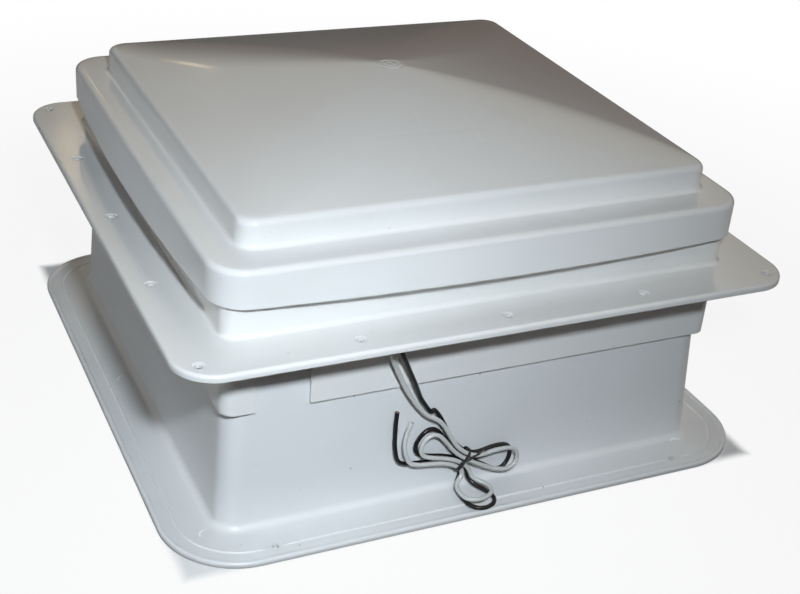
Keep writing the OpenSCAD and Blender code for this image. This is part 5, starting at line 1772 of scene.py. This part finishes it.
@dataclass
class Screen:
    """The insect screen: moulded bars with a fine net on them, round the operator plate, in millimetres."""

    half: float = 160.6
    bar_half: float = 157.9
    level: float = 119.9
    bars: int = 16
    bar: float = 1.6
    bar_t: float = 0.45
    bar_drop: float = 0.12
    net_pitch: float = 2.2
    net_wire: float = 0.38
    net_t: float = 0.2
    net_rise: float = 0.22
    plate: Point = (120.7, -65.0, 47.7)

    def build(self) -> None:
        """Makes the bars and the net in the three rectangles round the plate, and joins them."""
        x0, y0, y1 = self.plate
        h = self.half
        work = bmesh.new()
        for box in ((-h, -h, x0, h), (x0, y1, h, h), (x0, -h, h, y0)):
            for pitch, wire, thick, z in (
                    (2 * self.bar_half / self.bars, self.bar, self.bar_t, self.level - self.bar_drop),
                    (self.net_pitch, self.net_wire, self.net_t, self.level + self.net_rise)):
                patch = self._patch(box, pitch, wire, thick, z)
                work.from_mesh(patch.data)
                bpy.data.objects.remove(patch)
        piece = moulded("screen_net", work, Finishes.NET.material())
        piece.data.polygons.foreach_set("use_smooth", [False] * len(piece.data.polygons))
        finished(piece, Body.BASE, "screen_grey", "screen_mesh")

    @staticmethod
    def _patch(box: tuple[float, ...], pitch: float, wire: float, thick: float, z: float) -> Piece:
        """One rectangle of wires.

        Args:
            box: lowest X and Y, highest X and Y.
            pitch: distance between wires.
            wire: their width.
            thick: their thickness.
            z: their height.

        Returns:
            The wires.
        """
        ax, ay, bx, by = box
        piece = into_scene("screen_patch", bpy.data.meshes.new("screen_patch"))
        return Placing.apply(piece, Placing.net(), {
            "Width": (bx - ax) * MM, "Length": (by - ay) * MM, "Pitch": pitch * MM, "Wire": wire * MM,
            "Thickness": thick * MM, "Middle": ((ax + bx) / 2 * MM, (ay + by) / 2 * MM, z * MM),
            "Finish": Finishes.NET.material()})


@dataclass
class Fan:
    """The fan: a hub and cambered blades, in millimetres and degrees."""

    radius: float = 82.5
    hub_r: float = 15.0
    hub_z: float = 164.0
    hub_h: float = 14.0
    bore_r: float = 1.65
    groove: tuple[Span, ...] = ((8.0, 0.0), (7.2, -0.8), (6.0, -0.8), (5.4, 0.0))
    blade_z: float = 175.0
    blade_t: float = 1.8
    blades: int = 4
    root_in: float = 2.0
    stations: int = 15
    across: int = 10
    chord: float = 20.0
    chord_swell: float = 32.0
    swell_turn: Span = (10.0, 80.0)
    chord_tip: float = 6.0
    pitch: Span = (38.0, 20.0)
    camber: float = 6.0
    tip_round: float = 3.0
    hub_steps: int = 64
    sharp: float = 45.0

    def build(self) -> None:
        """Makes the hub and repeats the blade round it."""
        finish = Finishes.BLACK.material()
        turns = [Euler((0, 0, 2 * math.pi * k / self.blades)) for k in range(self.blades)]
        places = [((0.0, 0.0, 0.0), turn) for turn in turns]
        blades = scattered("fan_blades", self._blade(finish), places, finish)
        bore, r, z, top = self.bore_r, self.hub_r, self.hub_z, self.hub_z + self.hub_h
        hub = [
            (bore, z), (r - 1.2, z), (r - 0.3, z + 0.4), (r, z + 1.4), (r, top - 2.2), (r - 0.7, top - 0.7),
            (r - 2.2, top)]
        hub += [(a, top + d) for a, d in self.groove] + [(bore, top), (bore, z)]
        work = revolved(hub, self.hub_steps)
        work.from_mesh(blades.data)
        bpy.data.objects.remove(blades)
        piece = moulded("fan_moulding", work, finish)
        sharp_by_angle(piece, self.sharp)
        finished(piece, Body.FAN, "black_plastic", "fan_rotor")

    def _blade(self, finish: Material) -> Piece:
        """One blade along +X, from inside the hub to its rounded tip.

        Args:
            finish: its material.

        Returns:
            The blade.
        """
        work = bmesh.new()
        n = 2 * (self.across + 1)
        (swell0, swell1), (pitch0, pitch1) = self.swell_turn, self.pitch
        rows = []
        for i in range(self.stations):
            f = i / (self.stations - 1)
            r = self.hub_r - self.root_in + f * (self.radius - self.hub_r + self.root_in)
            swell = self.chord_swell * math.sin(math.radians(swell0 + (swell1 - swell0) * f))
            chord = self.chord + swell - self.chord_tip * f ** 6
            pitch = math.radians(pitch0 + (pitch1 - pitch0) * f)
            flare = self.tip_round * f ** 4
            row = []
            for k in range(n):
                over = k > self.across
                s = (n - 1 - k if over else k) / self.across - 0.5
                thick = self.blade_t / 2 * max(0.25, 1 - (2 * s) ** 6)
                lift = self.camber * (0.25 - s * s) + (thick if over else -thick)
                c = s * chord
                row.append(work.verts.new(Vector((
                    r - flare * (2 * s) ** 4, c * math.cos(pitch) - lift * math.sin(pitch),
                    self.blade_z + c * math.sin(pitch) + lift * math.cos(pitch))) * MM))
            rows.append(row)
        skin(work, rows)
        cap(work, rows[::-1])
        bmesh.ops.recalc_face_normals(work, faces=work.faces)
        return moulded("fan_blade", work, finish)


@dataclass
class CadDress:
    """Finishes of the CAD nodes whose own shape shows."""

    nodes: tuple[tuple[Finish, tuple[str, ...]], ...] = (
        (Finishes.BASE, ("roof_base", "lid_hinge_left", "lid_hinge_right")),
        (Finishes.INNER, ("gear_housing", "gear_cover", "screen_frame", "crank_knob")),
        (Finishes.SEAL, ("lid_seal", "lead_grommet")),
        (Finishes.ZINC, ("motor_bracket", "lift_bracket", "lid_rail", "lift_arm", "motor_can")),
        (Finishes.STEEL, ("hinge_pins", "motor_shaft", "fan_clip", "crank_shaft", "arm_shaft", "shoe_pin")),
        (Finishes.BLACK, ("motor_end_cap", "switch_body", "switch_rocker")),
        (Finishes.NYLON, ("worm_wheel", "slide_shoe", "crank_bush")),
        (Finishes.BRASS, ("worm",)))

    def build(self) -> None:
        """Gives each node its material."""
        for finish, names in self.nodes:
            for name in names:
                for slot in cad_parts[name].material_slots:
                    slot.material = finish.material()
                LOG.info("%s wears %s", name, finish.name)


def main() -> None:
    """Builds the scene, camera and cords first."""
    logging.basicConfig(level=logging.INFO, format="%(name)s: %(message)s")
    settings = bpy.context.scene.view_settings
    settings.view_transform = "Standard"
    for part in (Stage(), Leads(), Lid(), Garnish(), Screen(), Fan(), Fasteners(), CadDress()):
        LOG.info("building %s", type(part).__name__)
        part.build()


if __name__ == "__main__":
    main()
